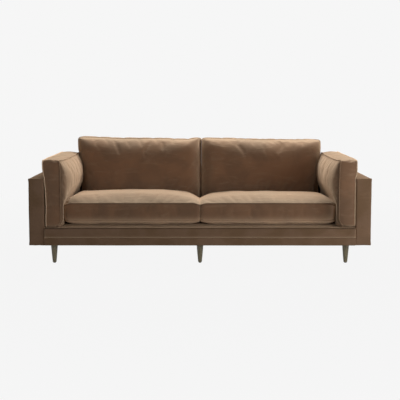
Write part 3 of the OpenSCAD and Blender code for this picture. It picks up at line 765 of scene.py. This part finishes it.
class SOFA_OT_arm_cushions(bpy.types.Operator):
    """Two boxed cushions that stand on edge inside the arm panels"""

    bl_idname = "sofa.arm_cushions"
    bl_label = "Arm cushions"

    def execute(self, context):
        return cushion_pair(context, self.cushion, 30)

    def form(self, c, side, half, boxing):
        """The cushion lies on its outer face, with its top at +y and the sofa's front at +x or -x."""
        front_high, rear_high, rear_low, front_low = 0.018, 0.075, 0.03, 0.02
        radii = [rear_high, front_high, front_low, rear_low]
        if side > 0:
            radii = [front_high, rear_high, rear_low, front_low]
        return {
            **PLAIN_FORM,
            "half": half, "boxing": boxing, "fill": 0.8, "radii": radii,
            "roll": c.arm_roll, "crown": c.arm_crown, "crown_power": 4, "firmness": 0.4, "steepness": 0.8,
            "rolls": (0.12, 0.02, 0.12, 0.08) if side < 0 else (0.03, 0.12, 0.12, 0.08),
            "low": 0.006, "low_power": 8, "sag": 0.012, "crest": ((-1, 0, 1), (0.002, 0.003, 0.002)),
            "swells": [0.004 if side < 0 else 0.009] * 2 + [0.004] * 2,
            "draws": (c.draw / 2, c.draw / 2, 0, 0),
            "droops": [(side, 1, 1, 0.008, 0.05, 0.06), (side, -1, 1, 0.026, 0.06, 0.05)],
            # Painted light: painted shade on the inner face by the sofa's front, and a painted highlight
            # on the welts
            "painted_shade": (0.6, 0.03, 0, side), "welt": c.arm_welt, "welt_highlight": (1.0, 0.1),
        }

    def cushion(self, context, c, name, side, seed):
        node = f"arm_cushion_{name}_cover"
        lo, hi = corners(node)
        seat_top = DECK_Z + c.seat_seam + c.seat_boxing
        seat_front_y = low("seat_left_cover")[1]
        panel_top = high("arm_left_cover")[2]
        boxing = ARM_FACE_X - ARM_BAND_X - CLEAR
        half = (hi - lo)[1:] / 2
        mid = (lo + hi) / 2
        mid[0] = side * (ARM_FACE_X - CLEAR - boxing / 2)

        def place(points):
            x, y, z = points.T
            outer_half = np.clip(0.5 - z / boxing, 0, 1)
            tuck = np.interp(mid[2] + y, ARM_TUCK_HEIGHTS, ARM_TUCKS[name]) * outer_half
            return mid + np.stack([-side * (z + tuck), -side * x, y], axis=1)

        def press(points, room=0.0):
            x, y, z = points.T
            y = np.clip(y, lo[1] - 0.003, hi[1] + 0.003)
            z = above_deck(z, room)
            over_seat = ramp(z - seat_top - 0.004, SEAT_EASE)
            before_back = np.clip(back_seam_y(z) - 0.006 - y, 0, None)
            inner = back_side_x(z) + 0.001 - CONTACT_SLOPE * before_back
            before_seat = np.clip(seat_front_y - y, 0, None)
            beside = SEAT_SIDE_X + 0.001 - FRONT_FLARE * before_seat - ARM_SWELL * over_seat
            inner = np.where(over_seat < 1, np.maximum(inner, beside), inner)
            over_panel = ramp(z - panel_top - 0.003, 0.03)
            wall = ARM_FACE_X - CLEAR - room + BULGE * over_panel
            return np.stack([side * np.clip(side * x, inner + room, wall), y, z], axis=1)

        form = self.form(c, side, half, boxing)
        make_cushion(context, f"arm_cushion_{name}", node, form, place, press, seed)


# Upholstered frame

# The cells a cover is cut into: on its faces, where it folds, and through a thin sheet
FACE_CELL = 0.02
FOLD_CELL = 0.003
SHEET_CELL = 0.002

# A pleat: its slope across the panel, its depth, and its crease's and lip's widths and distance
PLEAT_SLANT = 0.55
PLEAT_DEPTH = 0.0014
CREASE_WIDTH = 0.0022
LIP_WIDTH = 0.004
LIP_OFFSET = 0.006

# How much tighter a panel's corners and foot are than its edges
TIGHTER = 0.62


def pleated(points, corner, across, down, reach):
    """How deep the folded pleat at a panel's corner lies at each point: a crease with a raised lip."""
    ray = np.array(across) * PLEAT_SLANT + np.array(down)
    ray = ray / np.linalg.norm(ray)
    offset = points - corner
    along = offset @ ray
    beside = offset @ np.cross(ray, np.cross(across, down))
    fade = 1.8 * ramp(along, reach) * np.clip(1.6 - along / reach, 0, 1)
    crease = -np.exp(-((beside / CREASE_WIDTH) ** 2))
    lip = 0.7 * np.exp(-(((beside + LIP_OFFSET) / LIP_WIDTH) ** 2))
    return (crease + lip) * np.clip(fade, 0, 1)


def padded_box(name, node, runs, radius, context, seed, ends, pleats=()):
    """A panel of foam over board in a stretched cover, with tighter edges over the ends of an axis."""
    panels = sizes(context).panels
    lo, hi = corners(node)
    half, mid = (hi - lo) / 2, (lo + hi) / 2
    shares, faces = cut_box(runs)
    points = shares * half
    near_top = np.clip((points[:, 2] - half[2]) / radius + 2, 0, 1)
    near_end = np.clip((np.abs(points) - half)[:, ends] / radius + 2, 0, 1)
    near_foot = np.clip((-half[2] - points[:, 2]) / radius + 2, 0, 1)
    tight = radius * (1 - TIGHTER * np.maximum(near_top * near_end, near_foot))[:, None]
    points = rounded(points, half, tight) + mid
    piece = new_piece(name, points, faces, "frame", "panel_velvet", [node])
    normals = point_normals(piece.data)
    lift = panels.waves * 0.5 * ripple(points, 0.21, seed)
    side_share = np.sort(np.abs(shares), axis=1)[:, :2]
    lift += 0.0008 * (1 - side_share[:, 0] ** 4) * (1 - side_share[:, 1] ** 4)
    edge = np.exp(-((1 - side_share[:, 1]) * half.max()) / 0.02)
    lift += 0.0005 * edge * ripple(points, 0.045, seed + 1)
    for corner, across, down in pleats:
        lift += PLEAT_DEPTH * pleated(points, np.array(corner), across, down, panels.pleat)
    set_points(piece.data, points + normals * lift[:, None])
    return piece


def thin_sheet(lo, hi, *cells):
    """A closed flat sheet between two corners: its shares, points and faces."""
    cells = (*cells, SHEET_CELL)
    shares, faces = cut_box([[(size, cell)] for size, cell in zip((*(hi - lo)[:2], SHEET_CELL), cells)])
    return shares, shares * (hi - lo) / 2 + (hi + lo) / 2, faces


class SOFA_OT_panels(bpy.types.Operator):
    """Arm panels and back panel, each a padded board in a stretched velvet cover"""

    bl_idname = "sofa.panels"
    bl_label = "Arm and back panels"

    def execute(self, context):
        panels = sizes(context).panels
        r = panels.panel_round
        fine = r / 4
        for k, (name, side) in enumerate(SIDES.items()):
            node = f"arm_{name}_cover"
            lo, hi = corners(node)
            wide, deep, tall = hi - lo
            runs = [
                [(wide, FOLD_CELL)],
                [(2 * r, fine), (deep - 4 * r, FACE_CELL), (2 * r, fine)],
                [(r, fine), (tall - r - 0.07, FACE_CELL), (0.07 - 2 * r, FOLD_CELL), (2 * r, fine)],
            ]
            outer = lo[0] if side < 0 else hi[0]
            corner = (outer - side * 0.004, lo[1], hi[2] - 0.004)
            pleats = [(corner, (-side, 0, 0), (0, 0, -1))]
            padded_box(f"arm_panel_{name}", node, runs, r, context, 40 + k, 1, pleats)
        lo, hi = corners("back_cover")
        wide, deep, tall = hi - lo
        seam = 0.04
        face = (wide / 2 - r - seam / 2, FACE_CELL)
        runs = [
            [(r, fine), face, (seam, 0.0025), face, (r, fine)],
            [(2 * r, fine), (deep - 4 * r, 0.012), (2 * r, fine)],
            [(r, fine), (tall - 3 * r, FACE_CELL), (2 * r, fine)],
        ]
        back = padded_box("back_panel", "back_cover", runs, r, context, 44, 0)
        points = mesh_points(back.data)
        groove = 0.0016 * np.exp(-((points[:, 0] / 0.0028) ** 2))
        set_points(back.data, points - point_normals(back.data) * groove[:, None])
        return {"FINISHED"}


class SOFA_OT_base(bpy.types.Operator):
    """Padded front rail, plinth band, deck cloth and the lining under the base"""

    bl_idname = "sofa.base"
    bl_label = "Seat base"

    def execute(self, context):
        panels = sizes(context).panels
        self.rail(panels)
        self.plinth(panels)
        self.deck()
        self.lining()
        return {"FINISHED"}

    def rail(self, panels):
        """A roll of foam and velvet over the front rail, and the velvet that runs back under the seats."""
        lo, hi = corners("rail_cover")
        back_y = low("front_rail")[1] + 0.02
        half = np.array([hi[0] - lo[0], back_y - lo[1], hi[2] - lo[2]]) / 2
        mid = np.array([0, (lo[1] + back_y) / 2, (lo[2] + hi[2]) / 2])
        fine = 0.0028
        runs = [
            [(0.02, fine), (2 * half[0] - 0.04, FACE_CELL), (0.02, fine)],
            [(2 * half[1], fine)],
            [(2 * half[2], fine)],
        ]
        shares, faces = cut_box(runs)
        points = shares * half
        radius = np.where(points[:, 2] > 0, panels.rail_top_round, panels.rail_low_round)
        radius = np.where(points[:, 1] < 0, radius, 0.002)
        near_end = np.clip((np.abs(points[:, 0]) - half[0]) / 0.01 + 1.6, 0, 1)
        radius = radius + (panels.rail_end_round - radius) * near_end
        points = rounded(points, half, radius[:, None]) + mid
        lip_lo = np.array([lo[0], back_y - 0.006, DECK_Z - SHEET_CELL])
        lip = thin_sheet(lip_lo, np.array([hi[0], hi[1], DECK_Z]), 0.03, 0.02)[1:]
        both = joined((points, faces), lip)
        piece = new_piece("rail_cover_velvet", *both, "frame", "panel_velvet", ["rail_cover"])
        points, normals = mesh_points(piece.data), point_normals(piece.data)
        # The rail carries painted light: a painted highlight by its lower front edge and ends, and painted
        # shade along its top front edge
        mark_painted_light(piece, self.rail_painted_light(panels, points, lo, hi))
        before_seats = low("seat_left_cover")[1] - 0.004 - points[:, 1]
        between_arms = ARM_INNER_X - 0.01 - np.abs(points[:, 0])
        full = ramp(before_seats, 0.07) * ramp(between_arms, 0.03)
        points[:, 2] += 0.003 * full * (points[:, 2] > mid[2])
        waves = ripple(points * [0.25, 1, 1], 0.12, 50) - 1
        lift = panels.waves * waves * (points[:, 1] < back_y - 0.012)
        set_points(piece.data, points + normals * lift[:, None])

    def rail_painted_light(self, panels, points, lo, hi):
        """Painted light on the rail: a painted highlight by its lower edge and ends, and painted shade
        along its top front edge.
        """
        x, y, z = points.T
        over_low = z - lo[2] - 0.4 * panels.rail_low_round
        light_share = 0.25 * np.exp(-(over_low / 0.005) ** 2) + 0.25 * np.exp(-np.abs(over_low) / 0.012)
        light_share += 0.6 * np.exp((np.abs(x) - (hi[0] - lo[0]) / 2) / 0.004)
        light_share *= y < lo[1] + panels.rail_low_round
        ease = 0.3 * panels.rail_top_round
        from_edge = (y - lo[1] - ease) ** 2 + (z - hi[2] + ease) ** 2
        return light_share - 0.8 * np.exp(-from_edge / 0.007 ** 2)

    def plinth(self, panels):
        """The plain velvet band below the rail, wrapped round its lower edge."""
        lo, hi = corners("plinth_cover")
        half, mid = (hi - lo) / 2, (lo + hi) / 2
        end = (0.01, 0.002)
        runs = [
            [end, (2 * half[0] - 0.02, FACE_CELL), end],
            [(2 * half[1], FOLD_CELL)],
            [(2 * half[2], FOLD_CELL)],
        ]
        shares, faces = cut_box(runs)
        points = rounded(shares * half, half, np.full((len(shares), 1), 0.0035)) + mid
        piece = new_piece("plinth_band", points, faces, "frame", "panel_velvet", ["plinth_cover"])
        lift = 0.6 * panels.waves * (ripple(points * [0.2, 1, 1], 0.10, 52) - 1)
        set_points(piece.data, points + point_normals(piece.data) * lift[:, None])

    def deck(self):
        """The cloth over the webbing, where the cushions lie."""
        lo, hi = corners("deck_cloth")
        shares, points, faces = thin_sheet(lo, hi, 0.025, 0.025)
        inside = (1 - shares[:, 0] ** 8) * (1 - shares[:, 1] ** 8)
        points[:, 2] += 0.0004 * inside * (ripple(points, 0.11, 54) - 1)
        piece = new_piece("deck_cloth_velvet", points, faces, "frame", "panel_velvet", ["deck_cloth"])

    def lining(self):
        """The spun lining under the base, which hangs a little between its staples."""
        lo, hi = corners("dust_cover")
        shares, points, faces = thin_sheet(lo, hi, FACE_CELL, FACE_CELL)
        inside = (1 - shares[:, 0] ** 6) * (1 - shares[:, 1] ** 6)
        points[:, 2] -= 0.004 * inside * (1 + 0.4 * ripple(points, 0.35, 56))
        points[:, 2] -= 0.0006 * ripple(points, 0.05, 57) * (1 - inside) ** 0.5 * (1 - shares[:, 1] ** 30)
        piece = new_piece("base_lining", points, faces, "frame", "lining_cloth", ["dust_cover"])


# A leg's tip, the hole left at its axis, and how finely it is turned
LEG_TIP_R = 0.0125
AXIS_R = 0.001
LEG_RINGS = 24
LEG_SIDES = 64


class SOFA_OT_legs(bpy.types.Operator):
    """Six turned legs with rounded tips"""

    bl_idname = "sofa.legs"
    bl_label = "Legs"

    def execute(self, context):
        legs = sizes(context).legs
        for row in ("front", "rear"):
            for where in ("left", "middle", "right"):
                self.leg(f"leg_{row}_{where}", legs)
        return {"FINISHED"}

    def leg(self, node, legs):
        lo, hi = corners(node)
        top_r, r, ease = (hi - lo)[0] / 2, legs.tip_round, legs.top_ease
        foot_z, top_z = lo[2], hi[2]
        arc = [math.radians(a) for a in range(0, 91, 15)]
        profile = [(AXIS_R, foot_z)]
        profile += [(LEG_TIP_R - r + r * math.sin(a), foot_z + r - r * math.cos(a)) for a in arc]
        start_z, end_z = foot_z + r, top_z - ease
        for s in np.arange(1, LEG_RINGS + 1) / LEG_RINGS:
            radius = LEG_TIP_R + (top_r - LEG_TIP_R) * s + legs.belly * math.sin(math.pi * s)
            profile.append((radius, start_z + (end_z - start_z) * s))
        profile += [(top_r - ease, top_z), (AXIS_R, top_z)]
        points, faces = lathe(profile, LEG_SIDES, (lo + hi)[:2] / 2)
        new_piece(f"{node}_oak", points, faces, "frame", "fumed_oak", [node])


# Materials

SMOOTH = {"interpolation_type": "SMOOTHSTEP"}
COLOUR_MIX = {"out": 2, "data_type": "RGBA"}

# How far apart a wave texture's stripes lie at a scale of 1
STRIPE = math.tau / 10


def add(tree, kind, inputs=(), out=0, **settings):
    """Adds a shader node, sets it, fills its inputs with values or links, and returns an output."""
    node = tree.nodes.new("ShaderNode" + kind)
    for key, value in settings.items():
        setattr(node, key, value)
    for key, value in dict(inputs).items():
        socket = node.inputs[key]
        if isinstance(value, bpy.types.NodeSocket):
            tree.links.new(value, socket)
        else:
            socket.default_value = (*value, 1) if socket.type == "RGBA" else value
    return node.outputs[out] if len(node.outputs) else None


def at(place, size_mm, **inputs):
    """The inputs of a pattern: where it is read, and features about this many millimetres across."""
    return {"Vector": place, "Scale": 1000 / size_mm, **inputs}


def overlaid(tree, pattern, start, end, share, under, over):
    """One colour laid over another, up to this share, where the pattern runs from start to end."""
    cover = add(tree, "MapRange", {0: pattern, 1: start, 2: end, 3: 0.0, 4: share}, **SMOOTH)
    return add(tree, "Mix", {0: cover, 6: under, 7: over}, **COLOUR_MIX)


def new_material(slot, roughness, **shader):
    """A slot's material, with the shader's own sockets set. Returns its tree, shader and coordinates."""
    material = bpy.data.materials.new("sofa " + slot)
    material.use_nodes = True
    tree = material.node_tree
    bsdf = tree.nodes["Principled BSDF"]
    bsdf.inputs["Roughness"].default_value = roughness
    for key, value in shader.items():
        socket = bsdf.inputs[key.replace("_", " ")]
        socket.default_value = (*value, 1) if isinstance(value, tuple) else value
    return tree, bsdf, add(tree, "TexCoord", out="Object")


def dressed(tree, bsdf, colour, *relief, roughness=None):
    """Gives a shader its colour and roughness, and its relief, each layer a (height, depth in mm) pair."""
    tree.links.new(colour, bsdf.inputs["Base Color"])
    if roughness:
        tree.links.new(roughness, bsdf.inputs["Roughness"])
    beneath = {}
    for height, depth_mm in relief:
        bump = {"Height": height, "Distance": depth_mm / 1000, "Strength": 1.0, **beneath}
        normal = add(tree, "Bump", bump)
        beneath = {"Normal": normal}
    if relief:
        tree.links.new(normal, bsdf.inputs["Normal"])


def cotton_velvet(slot, upright, leaning, colours, crush_mm, sheen):
    """Cotton velvet, woven double and cut: dark straight on, pale where the pile is seen from its side.

    The pile leans where hands have brushed it, which gives soft lighter and darker patches, and it is
    crushed in faint streaks. Its tips are too fine to show, so they are drawn 2 mm apart.
    """
    tree, bsdf, spots = new_material(
        slot, 0.9, Sheen_Weight=sheen, Sheen_Roughness=0.75, Sheen_Tint=tuple(colours.velvet_sheen),
        Specular_IOR_Level=0.0)
    brushed = add(tree, "TexNoise", at(spots, 170, Detail=2.0, Roughness=0.5, Distortion=0.5))
    drawn_out = add(tree, "Mapping", {"Vector": spots, "Scale": (0.35, 1.0, 1.3)})
    streaks = add(tree, "TexNoise", at(drawn_out, crush_mm, Detail=3.0, Roughness=0.55, Distortion=0.9))
    tips = add(tree, "TexNoise", at(spots, 2, Detail=1.0))
    # Painted light marked on the mesh: the colour goes towards painted shade where the mark is below 0,
    # and towards a painted highlight where it is above 0
    pile = add(tree, "Attribute", out="Fac", attribute_name="pile_open")
    base = overlaid(tree, brushed, 0.32, 0.68, 1.0, leaning, upright)
    crushed = overlaid(tree, streaks, 0.5, 0.8, 0.4, base, linear(0x8E6E54))
    speckled = overlaid(tree, tips, 0.35, 0.65, 0.22, crushed, linear(0x3A281C))
    shaded = overlaid(tree, pile, 0.0, -1.0, 1.0, speckled, colours.velvet_painted_shade)
    highlighted = overlaid(tree, pile, 0.0, 1.0, 1.0, shaded, colours.velvet_painted_highlight)
    worn = add(tree, "MapRange", {0: brushed, 1: 0.3, 2: 0.7, 3: 0.95, 4: 0.8}, **SMOOTH)
    furrows = add(tree, "MapRange", {0: streaks, 1: 0.52, 2: 0.72, 3: 0.0, 4: 1.0}, **SMOOTH)
    dressed(tree, bsdf, highlighted, (brushed, 2.2), (furrows, 0.6), (tips, 0.3), roughness=worn)


def fumed_oak(slot, colours):
    """Oak fumed grey-brown, turned and oiled: fine long pores along the leg and a low, soft gloss."""
    tree, bsdf, spots = new_material(slot, 0.42, Coat_Weight=0.15, Coat_Roughness=0.3)
    scales = [(1, 1, share) for share in (0.06, 0.03, 0.08)]
    along = [add(tree, "Mapping", {"Vector": spots, "Scale": scale}) for scale in scales]
    grain = add(tree, "TexNoise", at(along[0], 3, Detail=4.0, Roughness=0.6, Distortion=0.3))
    rings = add(tree, "TexNoise", at(along[1], 11, Detail=2.0, Distortion=0.8))
    pores = add(tree, "TexNoise", at(along[2], 1.1, Detail=1.0))
    wood = overlaid(tree, grain, 0.35, 0.7, 0.75, colours.oak, colours.oak_dark)
    late = overlaid(tree, rings, 0.5, 0.7, 0.35, wood, linear(0x8E8160))
    pored = overlaid(tree, pores, 0.6, 0.72, 0.7, late, linear(0x2F2A1E))
    oiled = add(tree, "MapRange", {0: grain, 1: 0.3, 2: 0.7, 3: 0.36, 4: 0.52}, **SMOOTH)
    dressed(tree, bsdf, pored, (grain, 0.10), (pores, 0.12), roughness=oiled)


def spun_lining(slot, colours):
    """Spun-bonded polypropylene, pressed in a fine dot grid: dull black with a faint fibre mottle."""
    tree, bsdf, spots = new_material(slot, 0.85, Specular_IOR_Level=0.3)
    fibre = add(tree, "TexNoise", at(spots, 4, Detail=4.0, Roughness=0.7))
    dots = add(tree, "TexVoronoi", at(spots, 3, Randomness=0.0))
    colour = overlaid(tree, fibre, 0.3, 0.7, 0.5, colours.lining, linear(0x34322F))
    dressed(tree, bsdf, colour, (fibre, 0.2), (dots, 0.25))


def planed_beech(slot, colours):
    """Beech, planed and left raw: even pale brown with short darker flecks along the grain."""
    tree, bsdf, spots = new_material(slot, 0.6)
    short = add(tree, "Mapping", {"Vector": spots, "Scale": (0.15, 1, 1)})
    flecks = add(tree, "TexNoise", at(short, 2.5, Detail=3.0))
    long = add(tree, "Mapping", {"Vector": spots, "Scale": (0.05, 1, 1)})
    bands = add(tree, "TexNoise", at(long, 25, Detail=2.0))
    wood = overlaid(tree, bands, 0.3, 0.7, 0.6, colours.beech, linear(0xB48F68))
    dressed(tree, bsdf, overlaid(tree, flecks, 0.58, 0.7, 0.5, wood, linear(0x8F6A48)), (flecks, 0.08))


def pressed_hardboard(slot, colours):
    """Hardboard, hot-pressed from wood fibre: smooth mid brown with darker fibre bundles."""
    tree, bsdf, spots = new_material(slot, 0.5)
    fibre = add(tree, "TexNoise", at(spots, 3, Detail=5.0, Roughness=0.7))
    colour = overlaid(tree, fibre, 0.4, 0.7, 0.8, colours.hardboard, linear(0x5E4530))
    dressed(tree, bsdf, colour, (fibre, 0.1))


def cut_foam(slot, colours):
    """Polyurethane foam, cut from the block: matt cream, with open cells about 1.5 mm wide."""
    tree, bsdf, spots = new_material(slot, 0.95, Specular_IOR_Level=0.2)
    cells = add(tree, "TexVoronoi", at(spots, 1.5))
    aged = add(tree, "TexNoise", at(spots, 90, Detail=2.0))
    colour = overlaid(tree, aged, 0.3, 0.7, 0.5, colours.foam, linear(0xDCCB9C))
    dressed(tree, bsdf, colour, (cells, 0.5))


def woven_webbing(slot, colours):
    """Elasticated webbing, woven from polypropylene and rubber: dark slanted ribs 4 mm apart."""
    tree, bsdf, spots = new_material(slot, 0.7)
    waves = at(spots, 4 / STRIPE, Distortion=0.4)
    ribs = add(tree, "TexWave", waves, out="Fac", bands_direction="DIAGONAL")
    thread = add(tree, "TexNoise", at(spots, 2, Detail=2.0))
    colour = overlaid(tree, ribs, 0.3, 0.8, 0.7, colours.webbing, linear(0x2A2725))
    dressed(tree, bsdf, colour, (ribs, 0.3), (thread, 0.15))


def needled_felt(slot, colours):
    """Felt, needled from mixed fibre: matt grey with pale and dark hairs."""
    tree, bsdf, spots = new_material(slot, 0.95, Specular_IOR_Level=0.2)
    combed = add(tree, "Mapping", {"Vector": spots, "Scale": (1, 0.3, 1)})
    hairs = add(tree, "TexNoise", at(combed, 3, Detail=6.0, Roughness=0.8, Distortion=1.2))
    colour = overlaid(tree, hairs, 0.35, 0.7, 0.8, colours.felt, linear(0x8E8B84))
    dressed(tree, bsdf, colour, (hairs, 0.5))


def zinc_plate(slot, colours):
    """Mild steel, zinc-plated and passivated: bright grey metal with a faint cloudy film."""
    tree, bsdf, spots = new_material(slot, 0.35, Metallic=1.0)
    film = add(tree, "TexNoise", at(spots, 6, Detail=3.0))
    clouded = add(tree, "MapRange", {0: film, 1: 0.3, 2: 0.7, 3: 0.28, 4: 0.45}, **SMOOTH)
    filmed = overlaid(tree, film, 0.3, 0.7, 0.5, colours.zinc, linear(0xA2A49C))
    dressed(tree, bsdf, filmed, roughness=clouded)


def moulded_glide(slot, colours):
    """Polyethylene, moulded: dull black with a fine scuffed grain."""
    tree, bsdf, spots = new_material(slot, 0.5)
    scuff = add(tree, "TexNoise", at(spots, 1.2, Detail=3.0))
    colour = overlaid(tree, scuff, 0.4, 0.7, 0.4, colours.glide, linear(0x4A4540))
    dressed(tree, bsdf, colour, (scuff, 0.06))


class SOFA_OT_materials(bpy.types.Operator):
    """Every finish, and its place on the frame's own parts"""

    bl_idname = "sofa.materials"
    bl_label = "Materials"

    def execute(self, context):
        colours = sizes(context).colours
        cotton_velvet("panel_velvet", colours.stretched, colours.stretched_deep, colours, 60, 0.4)
        cotton_velvet("cushion_velvet", colours.velvet, colours.velvet_deep, colours, 45, 1.0)
        for slot, make in {
            "fumed_oak": fumed_oak, "lining_cloth": spun_lining, "beech_frame": planed_beech,
            "hardboard": pressed_hardboard, "foam": cut_foam, "webbing": woven_webbing,
            "felt_pad": needled_felt, "zinc_steel": zinc_plate, "glide_plastic": moulded_glide,
        }.items():
            make(slot, colours)
        for part in frame["record"]["subparts"]:
            node = frame["nodes"][part["node"]]
            node.data.materials.clear()
            node.data.materials.append(finish(part["material_slot"]))
        return {"FINISHED"}


# Stage

# The softboxes: name, place, the point they face, width and height
LIGHTS = (
    ("top", (0.3, 1.7, 3.0), (0.0, 0.2, 0.4), (4.4, 1.2)),
    ("side", (2.3, -1.7, 0.9), (0.6, 0.0, 0.4), (1.2, 1.2)),
    ("right", (1.7, -3.8, 1.5), (0.3, 0.0, 0.4), (2.0, 2.0)),
    ("left", (-1.7, -3.8, 1.5), (0.3, 0.0, 0.4), (2.0, 2.0)),
)
FLOOR_REACH = 14.0
FLOOR_STEPS = 96


class SOFA_OT_stage(bpy.types.Operator):
    """Pale paper floor, soft studio light and the photograph's camera"""

    bl_idname = "sofa.stage"
    bl_label = "Stage"

    def execute(self, context):
        stage = sizes(context).stage
        context.scene.view_settings.view_transform = "Standard"
        self.camera(context, stage)
        self.floor(context, stage)
        self.world(context, stage)
        for name, place, target, size in LIGHTS:
            self.softbox(context, name + "_light", place, target, size, getattr(stage, name + "_power"))
        return {"FINISHED"}

    def camera(self, context, stage):
        data = bpy.data.cameras.new("camera")
        data.lens, data.sensor_width, data.shift_y = stage.lens, 36, stage.shift
        camera = bpy.data.objects.new("camera", data)
        camera.location = (0, PANEL_FRONT_Y - stage.distance, stage.height)
        camera.rotation_euler = (math.radians(90 - stage.pitch), 0, 0)
        context.scene.collection.objects.link(camera)
        context.scene.camera = camera

    def softbox(self, context, name, place, target, size, power):
        data = bpy.data.lights.new(name, "AREA")
        data.shape, data.size, data.size_y, data.energy = "RECTANGLE", *size, power
        light = bpy.data.objects.new(name, data)
        light.location = place
        light.rotation_euler = (Vector(target) - Vector(place)).to_track_quat("-Z", "Y").to_euler()
        context.scene.collection.objects.link(light)

    def shown_directly(self, tree):
        """1 where a ray comes from the camera, a mirror or glass, and 0 where light falls on the sofa."""
        rays = add(tree, "LightPath").node.outputs
        seen = rays["Is Camera Ray"]
        for kind in ("Is Glossy Ray", "Is Transmission Ray"):
            seen = add(tree, "Math", {0: seen, 1: rays[kind]}, operation="MAXIMUM")
        return seen

    def world(self, context, stage):
        world = bpy.data.worlds.new("studio")
        context.scene.world = world
        world.use_nodes = True
        tree = world.node_tree
        tree.nodes.clear()
        paper = add(tree, "Background", {"Color": tuple(stage.backdrop), "Strength": 1.0})
        light = add(tree, "Background", {"Color": linear(0xFFFAF5), "Strength": stage.fill})
        mix = add(tree, "MixShader", {0: self.shown_directly(tree), 1: light, 2: paper})
        add(tree, "OutputWorld", {"Surface": mix})

    def floor(self, context, stage):
        """A disc of paper that fades into the backdrop well away from the sofa."""
        turns = [math.tau * k / FLOOR_STEPS for k in range(FLOOR_STEPS)]
        points = [(FLOOR_REACH * math.cos(turn), FLOOR_REACH * math.sin(turn), 0) for turn in turns]
        mesh = bpy.data.meshes.new("floor")
        mesh.from_pydata(points, [], [list(range(FLOOR_STEPS))])
        floor = bpy.data.objects.new("floor", mesh)
        context.scene.collection.objects.link(floor)
        material = bpy.data.materials.new("studio_paper")
        material.use_nodes = True
        tree = material.node_tree
        tree.nodes.clear()
        place = add(tree, "TexCoord", out="Object")
        distance = add(tree, "VectorMath", {0: place}, out="Value", operation="LENGTH")
        paper = add(tree, "BsdfDiffuse", {"Color": linear(0x7A7A7A)})
        glow = add(tree, "Emission", {"Color": tuple(stage.backdrop), "Strength": 1.0})
        share = add(tree, "MapRange", {0: distance, 1: 1.2, 2: 3.5, 3: 0.98, 4: 1.0}, **SMOOTH)
        shown = self.shown_directly(tree)
        shown = add(tree, "Math", {0: share, 1: shown}, operation="MULTIPLY")
        shown = add(tree, "Math", {0: shown, 1: stage.bounce}, operation="MAXIMUM")
        mix = add(tree, "MixShader", {0: shown, 1: paper, 2: glow})
        add(tree, "OutputMaterial", {"Surface": mix})
        mesh.materials.append(material)


# Add-on


class SOFA_PT_build(bpy.types.Panel):
    """Buttons for each group of pieces"""

    bl_idname = "SOFA_PT_build"
    bl_label = "Sofa"
    bl_space_type = "VIEW_3D"
    bl_region_type = "UI"
    bl_category = "Sofa"

    def draw(self, context):
        for step in STEPS:
            self.layout.operator(step.bl_idname)


STEPS = (
    SOFA_OT_stage,
    SOFA_OT_materials,
    SOFA_OT_panels,
    SOFA_OT_base,
    SOFA_OT_legs,
    SOFA_OT_seat_cushions,
    SOFA_OT_back_cushions,
    SOFA_OT_arm_cushions,
)
SETTINGS = (SofaCushionSizes, SofaPanelSizes, SofaLegSizes, SofaColours, SofaStage, SofaSettings)
CLASSES = (*SETTINGS, *STEPS, SOFA_PT_build)


def register():
    for item in CLASSES:
        bpy.utils.register_class(item)
    bpy.types.Scene.sofa = bpy.props.PointerProperty(type=SofaSettings)


def unregister():
    del bpy.types.Scene.sofa
    for item in reversed(CLASSES):
        bpy.utils.unregister_class(item)


def main():
    register()
    bpy.ops.sofa.stage()
    bpy.ops.sofa.materials()
    bpy.ops.sofa.panels()
    bpy.ops.sofa.base()
    bpy.ops.sofa.legs()
    bpy.ops.sofa.seat_cushions()
    bpy.ops.sofa.back_cushions()
    bpy.ops.sofa.arm_cushions()


if __name__ == "__main__":
    main()
